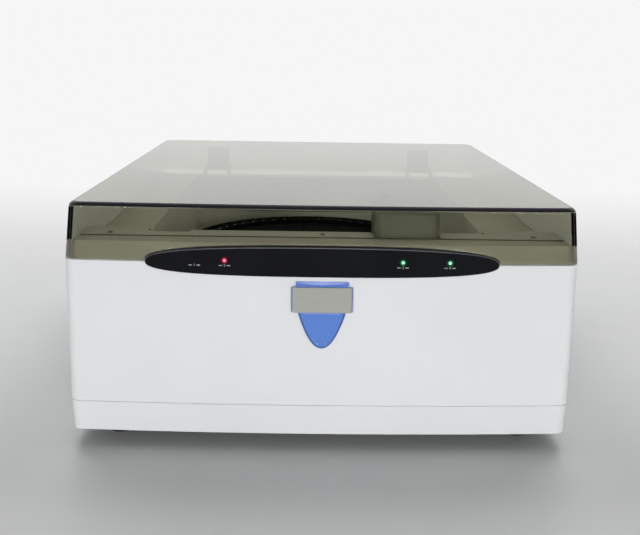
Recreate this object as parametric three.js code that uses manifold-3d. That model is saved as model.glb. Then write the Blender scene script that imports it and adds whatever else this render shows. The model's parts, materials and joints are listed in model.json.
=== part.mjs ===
// A carousel autosampler: a white housing with a smoked lid,
// under which a sampling tip draws from a ring of vials.
// Units are millimetres. +Z is up, +X is right seen from the front, and the front faces -Y.
// The origin is on the ground, under the middle of the object's box.
import * as THREE from "three";
import { mergeVertices } from "three/addons/utils/BufferGeometryUtils.js";
import Module from "manifold-3d";

const wasm = await Module();
wasm.setup();

// Fits shared by all pieces
const seat = 0.3; // between two pieces that rest on each other
const running = 0.15; // round a shaft that turns or slides in its bore
const overrun = 2; // how far a cut runs past the face that it opens
const weld = 1e-4; // points closer than this are one point

// Badge on the front, whose face is the object's foremost
const badgeCarrierThickness = 2;
const badgePlateThickness = 2.1;
const badgeStandOut = 2 * seat + badgeCarrierThickness + badgePlateThickness;

// Overall size
const bodyWidth = 440;
const bodyDepth = 505; // from the front's corners to the back
const frontBow = 6; // how far the middle of the front stands before its corners
const halfWidth = bodyWidth / 2;
const rearY = (bodyDepth + frontBow + badgeStandOut) / 2;
const frontY = rearY - bodyDepth;

// Heights, up from the ground and down from the lid's top
const footHeight = 14;
const motorHeight = 25.9;
const skirtHeight = 28;
const grooveGap = 0.8;
const lidHeight = 49;
const seamGap = 1;
const ledgeDrop = 33; // from the lid's top down to the ledge
const skirtTopZ = footHeight + skirtHeight - grooveGap;
const panelBottomZ = footHeight + skirtHeight;

// Walls of the housing
const cornerRadius = 9;
const panelWall = 3;
const sheet = 1.5;
const skirtTaper = 1.5;
const skirtWall = 3;
const panGap = 0.5;
const panLip = 20;
const flangeWidth = 12;
const flangeThickness = 2.8;
const panelReturn = 30; // how far the front panel's ends reach back

// Lid
const lidWall = 3;
const lidDraft = 5; // how far each side leans in from the seam to the top
const lidEdgeRadius = 6;
const lensGap = 1; // between the lid's cut-out and the status panel

// Deck, ledge and the strip behind the lid's front edge
const deckThickness = 3;
const deckFront = 24; // behind the front's corners, as are the sizes below
const stripFront = 4.5;
const stripBack = 23;
const stripWall = 2.5;
const stripSide = 7; // in from the housing's sides
const stripHalf = halfWidth - stripSide;
const stripCorner = 3.2;
const ledgeGap = 0.6;
const ledgeBack = 62;
const ledgeWall = 2.5;

// Status panel and its indicators
const lensLength = 300;
const lensHeight = 26.2;
const lensDrop = 47.5; // from the lid's top down to its middle
const lensPower = 2.75;
const lensStandOut = 3;
const lensBevel = 1.6;
const lensTipShare = 0.998;
const lensTipDrop = 1; // how far the tips lie under the middle
const bossInset = 1;
const indicatorRadius = 1.5;
const indicatorDrop = 46.7;
const indicatorStandOut = 0.5;
const indicatorLength = 9;
const indicatorShares = [-0.36, -0.2753, 0.226, 0.3587]; // of the panel's length, from its middle

// Badge
const badgePlateWidth = 50;
const badgePlateHeight = 22.2;
const badgePlateDrop = 68.8;
const badgeCapWidth = 44.7;
const badgeCapHeight = 4.4;
const badgeTongueWidth = 40.5;
const badgeTongueLength = 32.7;
const badgeTonguePower = 0.48;
const badgeEdge = 1.2;

// Carousel well, a tub whose rim stands level with the ledge
const wellFront = 51;
const wellFrontGap = 27; // from each wall to the carousel
const wellBackGap = 18;
const wellLeftGap = 10;
const wellRightGap = 22;
const wellWall = 3;
const wellRim = 6;
const wellFlange = 11;
const wellFlangeThickness = 2.5;
const wellCorner = 6;
const wellFloorDrop = 3; // from the carousel's underside down to the floor
const notchSide = 3; // in from the well's side
const notchWidth = 32;
const notchFront = 43;
const notchDepth = 4;

// Carousel
const carouselX = -11;
const carouselDrop = 75; // from the lid's top down to the ring's top
const carouselRadius = 132;
const seatRadius = 6.6;
const seatRim = 2.4; // outside the seats
const seatDepth = 52;
const seatSides = 12;
const ringWidth = 20;
const ringFloor = 3;
const plateThickness = 3.4;
const hatWall = 2.5;
const hatTopDrop = 5; // from the ring's top down to the middle disc
const hatThickness = 3;
const pitches = 52;
const racks = 4;
const blankPitches = [19, 45];
const hubRadius = 14;
const knobRadius = 17;
const knobHeight = 12;
const knobChamfer = 1.5;

// Spindle, bearings and the bridge that carries them
const spindleRadius = 6;
const collarRadius = 9;
const collarHeight = 3;
const bearingOuter = 13.9;
const bearingHeight = 8;
const housingWall = 2.9;
const housingFlange = 26;
const housingHeight = 31;
const housingFlangeHeight = 8.7;
const bridgeClear = 8; // over the carousel's pulley
const bridgeThickness = 3;
const bridgeHalfX = 45;
const bridgeHalfY = 60;
const bridgeFoot = 15;

// Belt drive
const beltPitch = 3;
const carouselTeeth = 72;
const motorTeeth = 18;
const beltThickness = 1.5;
const beltHeight = 8;
const beltSideGap = 1;
const pulleyRim = 1.5;
const pulleyRimHeight = 1.5;
const motorDistance = 88;
const motorSize = 42;
const motorChamfer = 4;
const pulleyClear = 1.2; // over the motor's bracket
const motorShaftRadius = 2.5;
const motorShaftDepth = 4;
const bracketFoot = 12;
const bracketHole = 12;

// Sampler tower
const towerLeft = 46;
const towerRight = 104;
const towerFront = 28;
const towerBack = 86;
const towerDrop = 10; // from the lid's top down to its top
const towerWall = 2;
const towerCorner = 9;
const towerEdge = 3;
const towerNotchGap = 0.5;
const slotGap = 2;
const slotTopGap = 2;

// Lift inside the tower
const tipX = 62;
const liftTravel = 42;
const carriageClear = 7; // left under the carriage at the bottom of its travel
const armClear = 2; // left under the arm, down to the housing's lower edge
const armDrop = 27; // from the lid's top down to the arm's underside
const armHeight = 9;
const armWidth = 14;
const carriageHeight = 17;
const carriageHalf = 22.5;
const carriageWall = 1.6;
const frameGap = 0.8; // clears the housing's rounded corners
const frameThickness = 1.8;
const frameHalf = 22;
const frameTopPlate = 3;
const frameBasePlate = 6;
const frameTopDepth = 12;
const frameBaseDepth = 16;
const frameFootDepth = 19;
const rodRadius = 3;
const rodSpacing = 36;
const screwRadius = 4;
const liftMotorSize = 20;
const liftMotorHeight = 32;
const liftMotorBoss = 5;
const windowGap = 1;

// Sampling tip
const tipRadius = 4;
const tipEndRadius = 1.4;
const tipLength = 34; // below the arm
const tipConeLength = 12;
const tipCollarRadius = 6;
const tipCollarHeight = 3;
const fittingRadius = 4.6;
const fittingHeight = 7;
const fittingBore = 0.8;

// Lid hinges, with their axis inside the lid's back wall
const hingeInset = 9; // from the back
const hingeSide = 80; // in from the housing's side
const hingeRise = 10; // above the seam
const hingeX = halfWidth - hingeSide;
const knuckleRadius = 4.5;
const knuckleHalf = 14.7;
const earThickness = 3;
const earRadius = 5;
const earArcDegrees = [-125, 110]; // round the pin, from the base's end to the slope
const earSteps = 10;
const pinRadius = 2;
const pinOverhang = 1;
const leafThickness = 1.7;
const leafHeight = 27;
const bracketBaseFront = 36;
const bracketBaseBack = 11.5;
const bracketBaseThickness = 2;
const lidBackLift = 4; // the lid's back edge hangs this far under the hinge axis

// Feet and ledge screws
const footRadius = 13;
const footTaper = 1.5;
const footInset = 38;
const screwHeadRadius = 2.6;
const screwHeadHeight = 1.2;
const screwShankRadius = 1.4;
const screwLength = 24;
const screwBehind = 36;
const screwShares = { left: -0.88, middle: 0, right: 0.88 }; // of the strip's half width

// Back panel and its fittings
const backInset = 2; // the panel's outer face lies this far inside the object's back
const fittingFlange = 1.5;
const fittingLip = 3;
const inletSide = 45; // in from the housing's side
const inletRise = 50; // above the panel's lower edge
const inletX = inletSide - halfWidth;
const inletZ = panelBottomZ + inletRise;
const inletWidth = 28;
const inletHeight = 22;
const inletDepth = 26;
const inletWall = 2.5;
const inletPinWidth = 4;
const inletPinHeight = 2;
const inletPinLength = 14;
const inletPinSpacing = 7;
const switchSpacing = 50;
const switchX = inletX + switchSpacing;
const switchWidth = 22;
const switchHeight = 28;
const switchDepth = 16;
const switchWall = 1.6;
const rockerHalfHeight = 11.2;
const rockerDish = 1.2;
const rockerFace = 3.2;
const rockerBack = 6;
const rockerBackHalf = 4;
const rockerTiltDegrees = 7;
const rockerInset = 5;
const relayX = 60;
const relayWidth = 36;
const relayHeight = 10;
const relayDepth = 14;
const relayHoles = 4;
const relayHoleSize = 3;
const relayHoleDepth = 8;
const ventSide = 95; // in from the housing's side
const ventX = halfWidth - ventSide;
const ventPitch = 8;
const ventWidth = 3;
const ventHeight = 50;
const ventRise = 3; // above the inlet's middle
const ventZ = inletZ + ventRise;
const vents = 9;

// Electronics on the base pan
const boardGap = 30; // from the power supply's side
const boardWidth = 180;
const boardRear = 17; // in front of the housing's back
const boardDepth = 103;
const boardThickness = 1.6;
const boardBossRadius = 4;
const boardBossHeight = 8;
const boardBossInset = 8;
const chipHeight = 4;
const chipShares = [
  { x: [0.08, 0.25], y: [0.24, 0.48] },
  { x: [0.45, 0.55], y: [0.53, 0.7] },
  { x: [0.69, 0.92], y: [0.2, 0.33] },
]; // of the board's width and depth
const supplySide = 15; // in from the housing's side
const supplyRear = 35; // in front of the housing's back
const supplyWidth = 110;
const supplyDepth = 80;
const supplyHeight = 36;
const supplyLip = 8;

// How finely round shapes are cut
const cornerSteps = 4;
const bowSteps = 14;
const edgeSteps = 4;
const lensPoints = 44;
const lensColumns = 26;
const fineSides = 24;
const roundSides = 16;
const beltSteps = 14;

const quarterTurn = Math.PI / 2;

// Places that follow from the sizes above
const behind = (distance) => frontY + distance;
const bowAt = (x) => frontBow * (1 - (x / halfWidth) ** 2);
const carouselBehind = wellFront + wellFrontGap + carouselRadius;
const carouselY = behind(carouselBehind);
const seatCircle = carouselRadius - seatRim - seatRadius;
const ringInner = carouselRadius - ringWidth;
const wellLeft = carouselX - carouselRadius - wellLeftGap;
const wellRight = carouselX + carouselRadius + wellRightGap;
const wellBack = carouselBehind + carouselRadius + wellBackGap;
const notchX = [wellLeft + notchSide, wellLeft + notchSide + notchWidth];
const tipY = carouselY - Math.sqrt(seatCircle ** 2 - (tipX - carouselX) ** 2);
const tipAngle = Math.atan2(tipY - carouselY, tipX - carouselX);
const panInset = skirtTaper + skirtWall + panGap;
const panBottomZ = footHeight + seat;
const panTopZ = panBottomZ + sheet;
const standZ = panTopZ + seat; // what stands on the base pan starts here
const motorTopZ = standZ + motorHeight;
const pulleyBottomZ = motorTopZ + seat + sheet + pulleyClear;
const beltBottomZ = pulleyBottomZ + pulleyRimHeight + beltSideGap;
const pulleyTopZ = beltBottomZ + beltHeight + beltSideGap + pulleyRimHeight;
const bridgeTopZ = pulleyTopZ + bridgeClear + bridgeThickness;
const housingBottomZ = bridgeTopZ + seat;
const flangeTopZ = housingBottomZ + housingFlangeHeight;
const wellFloorZ = flangeTopZ + seat + wellWall;
const plateBottomZ = wellFloorZ + wellFloorDrop;
const plateTopZ = plateBottomZ + plateThickness;
const ringBottomZ = plateTopZ + seat;
const ringTopZ = ringBottomZ + ringFloor + seatDepth;
const hatTopZ = ringTopZ - hatTopDrop;
const overallHeight = ringTopZ + carouselDrop;
const seamZ = overallHeight - lidHeight;
const ledgeZ = overallHeight - ledgeDrop;
const panelTopZ = seamZ - seamGap / 2;
const lidBottomZ = seamZ + seamGap / 2;
const deckTopZ = panelTopZ - 0.5 * seamGap;
const lensZ = overallHeight - lensDrop;
const indicatorZ = overallHeight - indicatorDrop;
const indicatorPlaces = indicatorShares.map((share) => share * lensLength);
const housingTopZ = housingBottomZ + housingHeight;
const collarZ = housingTopZ + seat;
const hubBottomZ = collarZ + collarHeight + seat;
const towerTopZ = overallHeight - towerDrop;
const frameY = behind(towerFront) + towerWall + frameGap;
const carriageY = frameY + frameThickness + seat;
const rodY = carriageY + carriageWall + rodRadius;
const frameTopZ = towerTopZ - towerWall - seat;
const frameX = (towerLeft + towerRight) / 2;
const armBottomZ = overallHeight - armDrop;
const armTopZ = armBottomZ + armHeight;
const towerBottomZ = armBottomZ - liftTravel - armClear;
const frameBaseZ = armTopZ - carriageHeight - liftTravel - carriageClear - frameBasePlate;
const hingeY = rearY - hingeInset;
const hingeZ = seamZ + hingeRise;
const backOuterY = rearY - backInset;
const backInnerY = backOuterY - sheet;
const badgeTopZ = overallHeight - badgePlateDrop;
const badgeBottomZ = badgeTopZ - badgePlateHeight;
const frontFaceY = frontY - frontBow;

// Turns a closed geometry into a solid whose faces point out.
function solid(geometry) {
  const bare = geometry.index ? geometry.toNonIndexed() : geometry.clone();
  bare.deleteAttribute("normal");
  bare.deleteAttribute("uv");
  const merged = mergeVertices(bare, weld);
  const index = merged.index.array;
  const corners = [];
  for (let i = 0; i < index.length; i += 3) {
    const [a, b, c] = index.slice(i, i + 3);
    if (a !== b && b !== c && c !== a) corners.push(a, b, c);
  }
  const vertProperties = merged.attributes.position.array;
  const make = (list) =>
    new wasm.Manifold(new wasm.Mesh({ numProp: 3, vertProperties, triVerts: new Uint32Array(list) }));
  const made = make(corners);
  return made.volume() < 0 ? make(corners.reverse()) : made;
}

const join = (first, ...rest) => rest.reduce((sum, piece) => sum.add(piece), first);
const cut = (first, ...rest) => rest.reduce((left, piece) => left.subtract(piece), first);
const points = (pairs) => pairs.map(([u, v]) => new THREE.Vector2(u, v));

function box([x0, x1], [y0, y1], [z0, z1]) {
  const made = new THREE.BoxGeometry(x1 - x0, y1 - y0, z1 - z0);
  made.translate((x0 + x1) / 2, (y0 + y1) / 2, (z0 + z1) / 2);
  return solid(made);
}

// Pushes an outline along Z, along -Y (outline in x and z) or along X (outline in y and z).
function extrude(outline, [from, to], way) {
  const made = new THREE.ExtrudeGeometry(new THREE.Shape(outline), { depth: to - from, bevelEnabled: false });
  const [x, y, z] = [new THREE.Vector3(1, 0, 0), new THREE.Vector3(0, 1, 0), new THREE.Vector3(0, 0, 1)];
  if (way === "y") {
    made.applyMatrix4(new THREE.Matrix4().makeBasis(x, z, y.clone().negate()));
    made.translate(0, to, 0);
  } else if (way === "x") {
    made.applyMatrix4(new THREE.Matrix4().makeBasis(y, z, x));
    made.translate(from, 0, 0);
  } else {
    made.translate(0, 0, from);
  }
  return solid(made);
}

function cylinder(radius, [x, y], [z0, z1], sides = roundSides) {
  const made = new THREE.CylinderGeometry(radius, radius, z1 - z0, sides);
  made.rotateX(Math.PI / 2);
  made.translate(x, y, (z0 + z1) / 2);
  return solid(made);
}

function cylinderX(radius, [x0, x1], [y, z], sides = roundSides) {
  const made = new THREE.CylinderGeometry(radius, radius, x1 - x0, sides);
  made.rotateZ(Math.PI / 2);
  made.translate((x0 + x1) / 2, y, z);
  return solid(made);
}

function cylinderY(radius, [y0, y1], [x, z], sides = roundSides) {
  const made = new THREE.CylinderGeometry(radius, radius, y1 - y0, sides);
  made.translate(x, (y0 + y1) / 2, z);
  return solid(made);
}

// Turns a profile of radius and height about the vertical through x, y.
function turned(profile, [x, y], sides = fineSides) {
  const made = new THREE.LatheGeometry(points(profile), sides);
  made.rotateX(Math.PI / 2);
  made.translate(x, y, 0);
  return solid(made);
}

// Joins rings of as many points each, every ring convex, into one closed body.
function loft(rings) {
  const count = rings[0].length;
  const index = [];
  rings.slice(1).forEach((_, ring) => {
    for (let i = 0; i < count; i++) {
      const next = (i + 1) % count;
      const [a, b] = [ring * count + i, ring * count + next];
      index.push(a, b, b + count, a, b + count, a + count);
    }
  });
  const last = (rings.length - 1) * count;
  for (let i = 1; i < count - 1; i++) {
    index.push(0, i + 1, i);
    index.push(last, last + i, last + i + 1);
  }
  const made = new THREE.BufferGeometry();
  made.setAttribute("position", new THREE.Float32BufferAttribute(rings.flat(2), 3));
  made.setIndex(index);
  return solid(made);
}

// The outline in plan of the bowed housing, or of a wall inside it.
function bowedOutline(side, front, rear, radius, rearRadius = 0) {
  const outline = [];
  const arc = (x, y, size, start) => {
    const steps = size ? cornerSteps : 0;
    for (let i = 0; i <= steps; i++) {
      const turn = quarterTurn * (start + (steps ? i / steps : 0));
      outline.push([x + size * Math.cos(turn), y + size * Math.sin(turn)]);
    }
  };
  arc(-side + rearRadius, rear - rearRadius, rearRadius, 1);
  const bowStart = outline.length;
  arc(-side + radius, front + radius, radius, 2);
  for (let i = 1; i < bowSteps; i++) outline.push([(side - radius) * ((2 * i) / bowSteps - 1), front]);
  arc(side - radius, front + radius, radius, 3);
  const bowEnd = outline.length;
  arc(side - rearRadius, rear - rearRadius, rearRadius, 0);
  return outline.map(([x, y], i) => new THREE.Vector2(x, i < bowStart || i >= bowEnd ? y : y - bowAt(x)));
}

function insetOutline(inset, rear = rearY - inset, side = halfWidth - inset) {
  return bowedOutline(side, frontY + inset, rear, cornerRadius - inset * (inset < cornerRadius));
}

const ringAt = (outline, z) => outline.map(({ x, y }) => [x, y, z]);

// A box with rounded upright corners, seen from above.
function roundedOutline([x0, x1], [y0, y1], radius) {
  const corners = [
    [x1 - radius, y1 - radius],
    [x0 + radius, y1 - radius],
    [x0 + radius, y0 + radius],
    [x1 - radius, y0 + radius],
  ];
  return corners.flatMap(([x, y], corner) =>
    Array.from({ length: cornerSteps + 1 }, (_, i) => {
      const turn = quarterTurn * (corner + i / cornerSteps);
      return new THREE.Vector2(x + radius * Math.cos(turn), y + radius * Math.sin(turn));
    }),
  );
}

const part = new THREE.Group();

function add(name, shape, color, roughness, metalness = 0, opacity = 1) {
  const made = shape.getMesh();
  const geometry = new THREE.BufferGeometry();
  geometry.setAttribute("position", new THREE.BufferAttribute(made.vertProperties, 3));
  geometry.setIndex(new THREE.BufferAttribute(made.triVerts, 1));
  geometry.computeVertexNormals();
  const material = new THREE.MeshStandardMaterial({ color, roughness, metalness, opacity });
  material.transparent = opacity < 1;
  const mesh = new THREE.Mesh(geometry, material);
  mesh.name = name;
  part.add(mesh);
}

// Colours
const housingWhite = 0xe4e6e8;
const deckGrey = 0xc9cbc8;
const smokedOlive = 0x55553f;
const panelBlack = 0x1c1e20;
const carouselBlack = 0x0c0c0d;
const steelGrey = 0x9b9ea2;
const rubberBlack = 0x202020;
const badgeBlue = 0x6487d2;
const badgeSilver = 0xa9a7a2;
const towerOlive = 0x3b3c33;
const boardGreen = 0x1f5a3c;
const brassYellow = 0xb59a55;

// Housing shell
const lensMiddle = (x) => lensZ - lensTipDrop * ((2 * x) / lensLength) ** 2;

function lensOutline(grow) {
  const bend = (value) => Math.sign(value) * Math.abs(value) ** (2 / lensPower);
  return Array.from({ length: lensPoints }, (_, i) => {
    const turn = (2 * Math.PI * i) / lensPoints;
    const x = (lensLength / 2 + grow) * bend(Math.cos(turn));
    return new THREE.Vector2(x, lensMiddle(x) + (lensHeight / 2 + grow) * bend(Math.sin(turn)));
  });
}

function indicatorHoles() {
  const reach = [frontFaceY - lensStandOut - overrun, behind(stripBack)];
  return indicatorPlaces.map((x) => cylinderY(indicatorRadius + seat, reach, [x, indicatorZ]));
}

function addSkirt() {
  const outer = loft([
    ringAt(insetOutline(skirtTaper), footHeight),
    ringAt(insetOutline(0), skirtTopZ),
  ]);
  const inner = extrude(insetOutline(skirtTaper + skirtWall), [footHeight - overrun, skirtTopZ + overrun]);
  add("base_skirt", cut(outer, inner), housingWhite, 0.45);
}

function addBasePan() {
  const tray = extrude(insetOutline(panInset), [panBottomZ, panTopZ + panLip]);
  const inside = extrude(insetOutline(panInset + sheet), [panTopZ, panTopZ + panLip + overrun]);
  const bosses = boardCorners().map((place) =>
    cylinder(boardBossRadius, place, [panBottomZ + sheet / 2, panTopZ + boardBossHeight]),
  );
  add("base_pan", join(cut(tray, inside), ...bosses), steelGrey, 0.4, 0.8);
}

function addFrontPanel() {
  const wallTop = [panelBottomZ, panelTopZ];
  const past = [panelBottomZ - overrun, panelTopZ + overrun];
  const wall = cut(
    extrude(insetOutline(0, behind(panelReturn)), wallTop),
    extrude(insetOutline(panelWall, behind(panelReturn) + overrun), past),
  );
  const stripOutline = (inset, rear) =>
    bowedOutline(stripHalf - inset, behind(stripFront) + inset, rear, stripCorner - inset);
  const shelf = cut(
    extrude(insetOutline(0, behind(stripBack)), [panelTopZ - panelWall, panelTopZ]),
    extrude(stripOutline(stripWall, behind(stripBack) + overrun), past),
  );
  const strip = cut(
    extrude(stripOutline(0, behind(stripBack)), [panelTopZ - panelWall, ledgeZ]),
    extrude(stripOutline(stripWall, behind(stripBack) + overrun), [seamZ - lidHeight, ledgeZ - ledgeWall]),
  );
  const boss = extrude(lensOutline(-bossInset), [frontFaceY - overrun, behind(stripFront + stripWall)], "y")
    .intersect(extrude(insetOutline(0, behind(stripBack)), [panelBottomZ, ledgeZ]));
  add("front_panel", cut(join(wall, shelf, strip, boss), ...indicatorHoles()), housingWhite, 0.4);
}

function addSidePanels() {
  for (const [name, way] of [["left_side_panel", -1], ["right_side_panel", 1]]) {
    const across = (near, far) => (way > 0 ? [near, far] : [-far, -near]);
    const along = [behind(panelReturn) + seat, rearY];
    const wall = box(across(halfWidth - panelWall, halfWidth), along, [panelBottomZ, panelTopZ]);
    const top = deckTopZ - deckThickness - seat;
    const inner = halfWidth - panelWall - flangeWidth;
    const flangeAlong = [along[0], backInnerY - seat];
    const flange = box(across(inner, halfWidth - panelWall), flangeAlong, [top - flangeThickness, top]);
    add(name, join(wall, flange), housingWhite, 0.4);
  }
}

function addBackPanel() {
  const side = halfWidth - panelWall - seat;
  const wall = box([-side, side], [backInnerY, backOuterY], [panelBottomZ, panelTopZ]);
  const top = deckTopZ - deckThickness - seat;
  const flangeSide = side - flangeWidth - seat;
  const flangeY = [backInnerY - flangeWidth, backInnerY];
  const flange = box([-flangeSide, flangeSide], flangeY, [top - flangeThickness, top]);
  const through = [backInnerY - overrun, backOuterY + overrun];
  const hole = (x, width, height, z = inletZ) => {
    const [halfX, halfZ] = [width / 2 + seat, height / 2 + seat];
    return box([x - halfX, x + halfX], through, [z - halfZ, z + halfZ]);
  };
  const slots = Array.from({ length: vents }, (_, i) => {
    const x = ventX + ventPitch * (i - (vents - 1) / 2);
    return hole(x, ventWidth, ventHeight, ventZ);
  });
  const holes = [
    hole(inletX, inletWidth, inletHeight),
    hole(switchX, switchWidth, switchHeight),
    hole(relayX, relayWidth, relayHeight),
  ];
  add("rear_panel", cut(join(wall, flange), ...holes, ...slots), housingWhite, 0.45, 0.1);
}

function addFeet() {
  const profile = [
    [0, 0],
    [footRadius - footTaper, 0],
    [footRadius, footTaper],
    [footRadius, footHeight],
    [0, footHeight],
  ];
  for (const [side, x] of [["left", -1], ["right", 1]]) {
    for (const [end, y] of [["front", behind(footInset)], ["rear", rearY - footInset]]) {
      const place = [x * (halfWidth - footInset), y];
      add(`foot_${end}_${side}`, turned(profile, place, roundSides), rubberBlack, 0.9);
    }
  }
}

// Deck, ledge and well
const wellOuter = (grow) => ({
  x: [wellLeft - wellWall - grow, wellRight + wellWall + grow],
  y: [behind(wellFront) - wellWall - grow, behind(wellBack) + wellWall + grow],
});

function screwHoles() {
  const depth = [ledgeZ - screwLength - overrun, ledgeZ + overrun];
  const places = Object.values(screwShares).map((share) => [share * stripHalf, behind(screwBehind)]);
  return places.map((place) => cylinder(screwShankRadius + seat, place, depth));
}

function towerWell(grow, z) {
  return box([towerLeft - grow, towerRight + grow], [behind(towerFront) - grow, behind(towerBack)], z);
}

function addDeckPlate() {
  const side = halfWidth - panelWall - seat;
  const z = [deckTopZ - deckThickness, deckTopZ];
  const past = [z[0] - overrun, z[1] + overrun];
  const opening = wellOuter(seat);
  const plate = box([-side, side], [behind(deckFront), backInnerY - seat], z);
  const holes = [box(opening.x, opening.y, past), towerWell(overrun, past), ...screwHoles()];
  add("deck_plate", cut(plate, ...holes), deckGrey, 0.5);
}

function addFrontLedge() {
  const z = [deckTopZ + seat, ledgeZ];
  const past = [z[0] - overrun, z[1] + overrun];
  const front = behind(stripBack + ledgeGap);
  const back = behind(ledgeBack);
  const outer = box([-stripHalf, stripHalf], [front, back], z);
  const side = stripHalf - ledgeWall;
  const inner = box([-side, side], [front + ledgeWall, back - ledgeWall], [past[0], z[1] - ledgeWall]);
  const opening = wellOuter(seat);
  const notch = box(notchX, [behind(notchFront), back], [ledgeZ - notchDepth, past[1]]);
  const shape = cut(
    outer,
    inner,
    box(opening.x, opening.y, past),
    towerWell(towerNotchGap, past),
    notch,
    ...screwHoles(),
  );
  add("front_ledge", shape, housingWhite, 0.45);
}

function addWell() {
  const body = wellOuter(0);
  const bottomZ = wellFloorZ - wellWall;
  const rim = wellOuter(wellRim - wellWall);
  const flange = wellOuter(wellFlange - wellWall);
  const rimFront = behind(ledgeBack) + seat;
  const outer = join(
    extrude(roundedOutline(body.x, body.y, wellCorner + wellWall), [bottomZ, ledgeZ]),
    box(rim.x, [rimFront, rim.y[1]], [ledgeZ - wellWall, ledgeZ]),
    box(flange.x, [rimFront, flange.y[1]], [deckTopZ + seat, deckTopZ + seat + wellFlangeThickness]),
  );
  const insideX = [wellLeft, wellRight];
  const insideY = [behind(wellFront), behind(wellBack)];
  const inside = extrude(roundedOutline(insideX, insideY, wellCorner), [wellFloorZ, ledgeZ + overrun]);
  const wallY = [behind(wellFront) - wellWall - overrun, behind(wellFront) + overrun];
  const towerX = [towerLeft - wellWall, towerRight + wellWall];
  const towerNotch = box(towerX, wallY, [towerBottomZ - overrun, ledgeZ + overrun]);
  const fingerNotch = box(notchX, wallY, [ledgeZ - notchDepth, ledgeZ + overrun]);
  const centre = cylinder(
    bearingOuter + running + housingWall + seat,
    [carouselX, carouselY],
    [bottomZ - overrun, wellFloorZ + overrun],
    fineSides,
  );
  add("carousel_well", cut(outer, inside, towerNotch, fingerNotch, centre), deckGrey, 0.5);
}

function addScrews() {
  const headZ = ledgeZ + seat;
  const profile = [
    [0, ledgeZ - screwLength],
    [screwShankRadius, ledgeZ - screwLength],
    [screwShankRadius, headZ],
    [screwHeadRadius, headZ],
    [screwHeadRadius, headZ + screwHeadHeight / 2],
    [screwShankRadius, headZ + screwHeadHeight],
    [0, headZ + screwHeadHeight],
  ];
  for (const [side, share] of Object.entries(screwShares)) {
    const place = [share * stripHalf, behind(screwBehind)];
    add(`ledge_screw_${side}`, turned(profile, place, roundSides), steelGrey, 0.4, 0.8);
  }
}

// Front fittings
function addStatusPanel() {
  const half = (lensLength / 2) * lensTipShare;
  const columns = Array.from({ length: lensColumns + 1 }, (_, i) => {
    const x = half * Math.sin(Math.PI * (i / lensColumns - 1 / 2));
    const tall = (lensHeight / 2) * (1 - Math.abs((2 * x) / lensLength) ** lensPower) ** (1 / lensPower);
    const bevel = Math.min(lensBevel, tall / 2);
    const back = frontY - bowAt(x) - seat;
    const front = frontY - bowAt(x) - lensStandOut;
    const section = [
      [back, -tall],
      [front + bevel, -tall],
      [front, bevel - tall],
      [front, tall - bevel],
      [front + bevel, tall],
      [back, tall],
    ];
    return section.map(([y, z]) => [x, y, lensMiddle(x) + z]);
  });
  add("status_panel", cut(loft(columns), ...indicatorHoles()), panelBlack, 0.25);
}

function addIndicators() {
  const colors = [0x30342f, 0xff5a70, 0x59ffa0, 0x59ffa0];
  indicatorPlaces.forEach((x, i) => {
    const front = frontY - bowAt(x) - lensStandOut - indicatorStandOut;
    const shape = cylinderY(indicatorRadius, [front, front + indicatorLength], [x, indicatorZ]);
    add(`indicator_lens_${i + 1}`, shape, colors[i], 0.3);
  });
}

function addBadge() {
  const half = badgePlateWidth / 2;
  const tip = badgeBottomZ - badgeTongueLength;
  const tongueHalf = badgeTongueWidth / 2;
  const sideShares = [0.015, 0.06, 0.15, 0.3, 0.5, 0.75, 1];
  const right = [
    [0, tip],
    ...sideShares.map((s) => [tongueHalf * s ** badgeTonguePower, tip + s * (badgeTongueLength - badgeEdge)]),
    [half + badgeEdge, badgeBottomZ - badgeEdge],
    [half + badgeEdge, badgeTopZ + badgeEdge],
    [badgeCapWidth / 2, badgeTopZ + badgeEdge],
    [badgeCapWidth / 2, badgeTopZ + badgeCapHeight],
  ];
  const left = right.slice(1).reverse().map(([x, z]) => [-x, z]);
  const back = frontFaceY - seat;
  const carrierFront = back - badgeCarrierThickness;
  const plateBack = carrierFront - seat;
  add("badge_carrier", extrude(points([...right, ...left]), [carrierFront, back], "y"), badgeBlue, 0.3);
  const plate = box([-half, half], [plateBack - badgePlateThickness, plateBack], [badgeBottomZ, badgeTopZ]);
  add("badge_plate", plate, badgeSilver, 0.35, 0.7);
}

// Lid and its hinges
function lidRing(z, inset) {
  const side = halfWidth - (lidDraft * (z - seamZ)) / lidHeight - inset;
  const radius = cornerRadius - inset / 2;
  return ringAt(bowedOutline(side, frontY + inset, rearY - inset, radius, radius), z);
}

function addLid() {
  const edge = Array.from({ length: edgeSteps + 1 }, (_, i) => {
    const turn = quarterTurn * (i / edgeSteps);
    const drop = lidEdgeRadius * (1 - Math.sin(turn));
    return lidRing(overallHeight - drop, lidEdgeRadius * (1 - Math.cos(turn)));
  });
  const outer = loft([lidRing(lidBottomZ, 0), ...edge]);
  const inner = loft([
    lidRing(lidBottomZ - overrun, lidWall),
    lidRing(overallHeight - lidEdgeRadius, lidWall),
    lidRing(overallHeight - lidWall, lidEdgeRadius),
  ]);
  const lensCut = extrude(lensOutline(lensGap), [frontFaceY - overrun, behind(stripBack)], "y");
  const past = [-bodyWidth, bodyWidth];
  const backCut = box(past, [hingeY, rearY + overrun], [lidBottomZ - overrun, hingeZ - lidBackLift]);
  add("lid", cut(outer, inner, lensCut, backCut), smokedOlive, 0.12, 0, 0.6);
}

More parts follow.
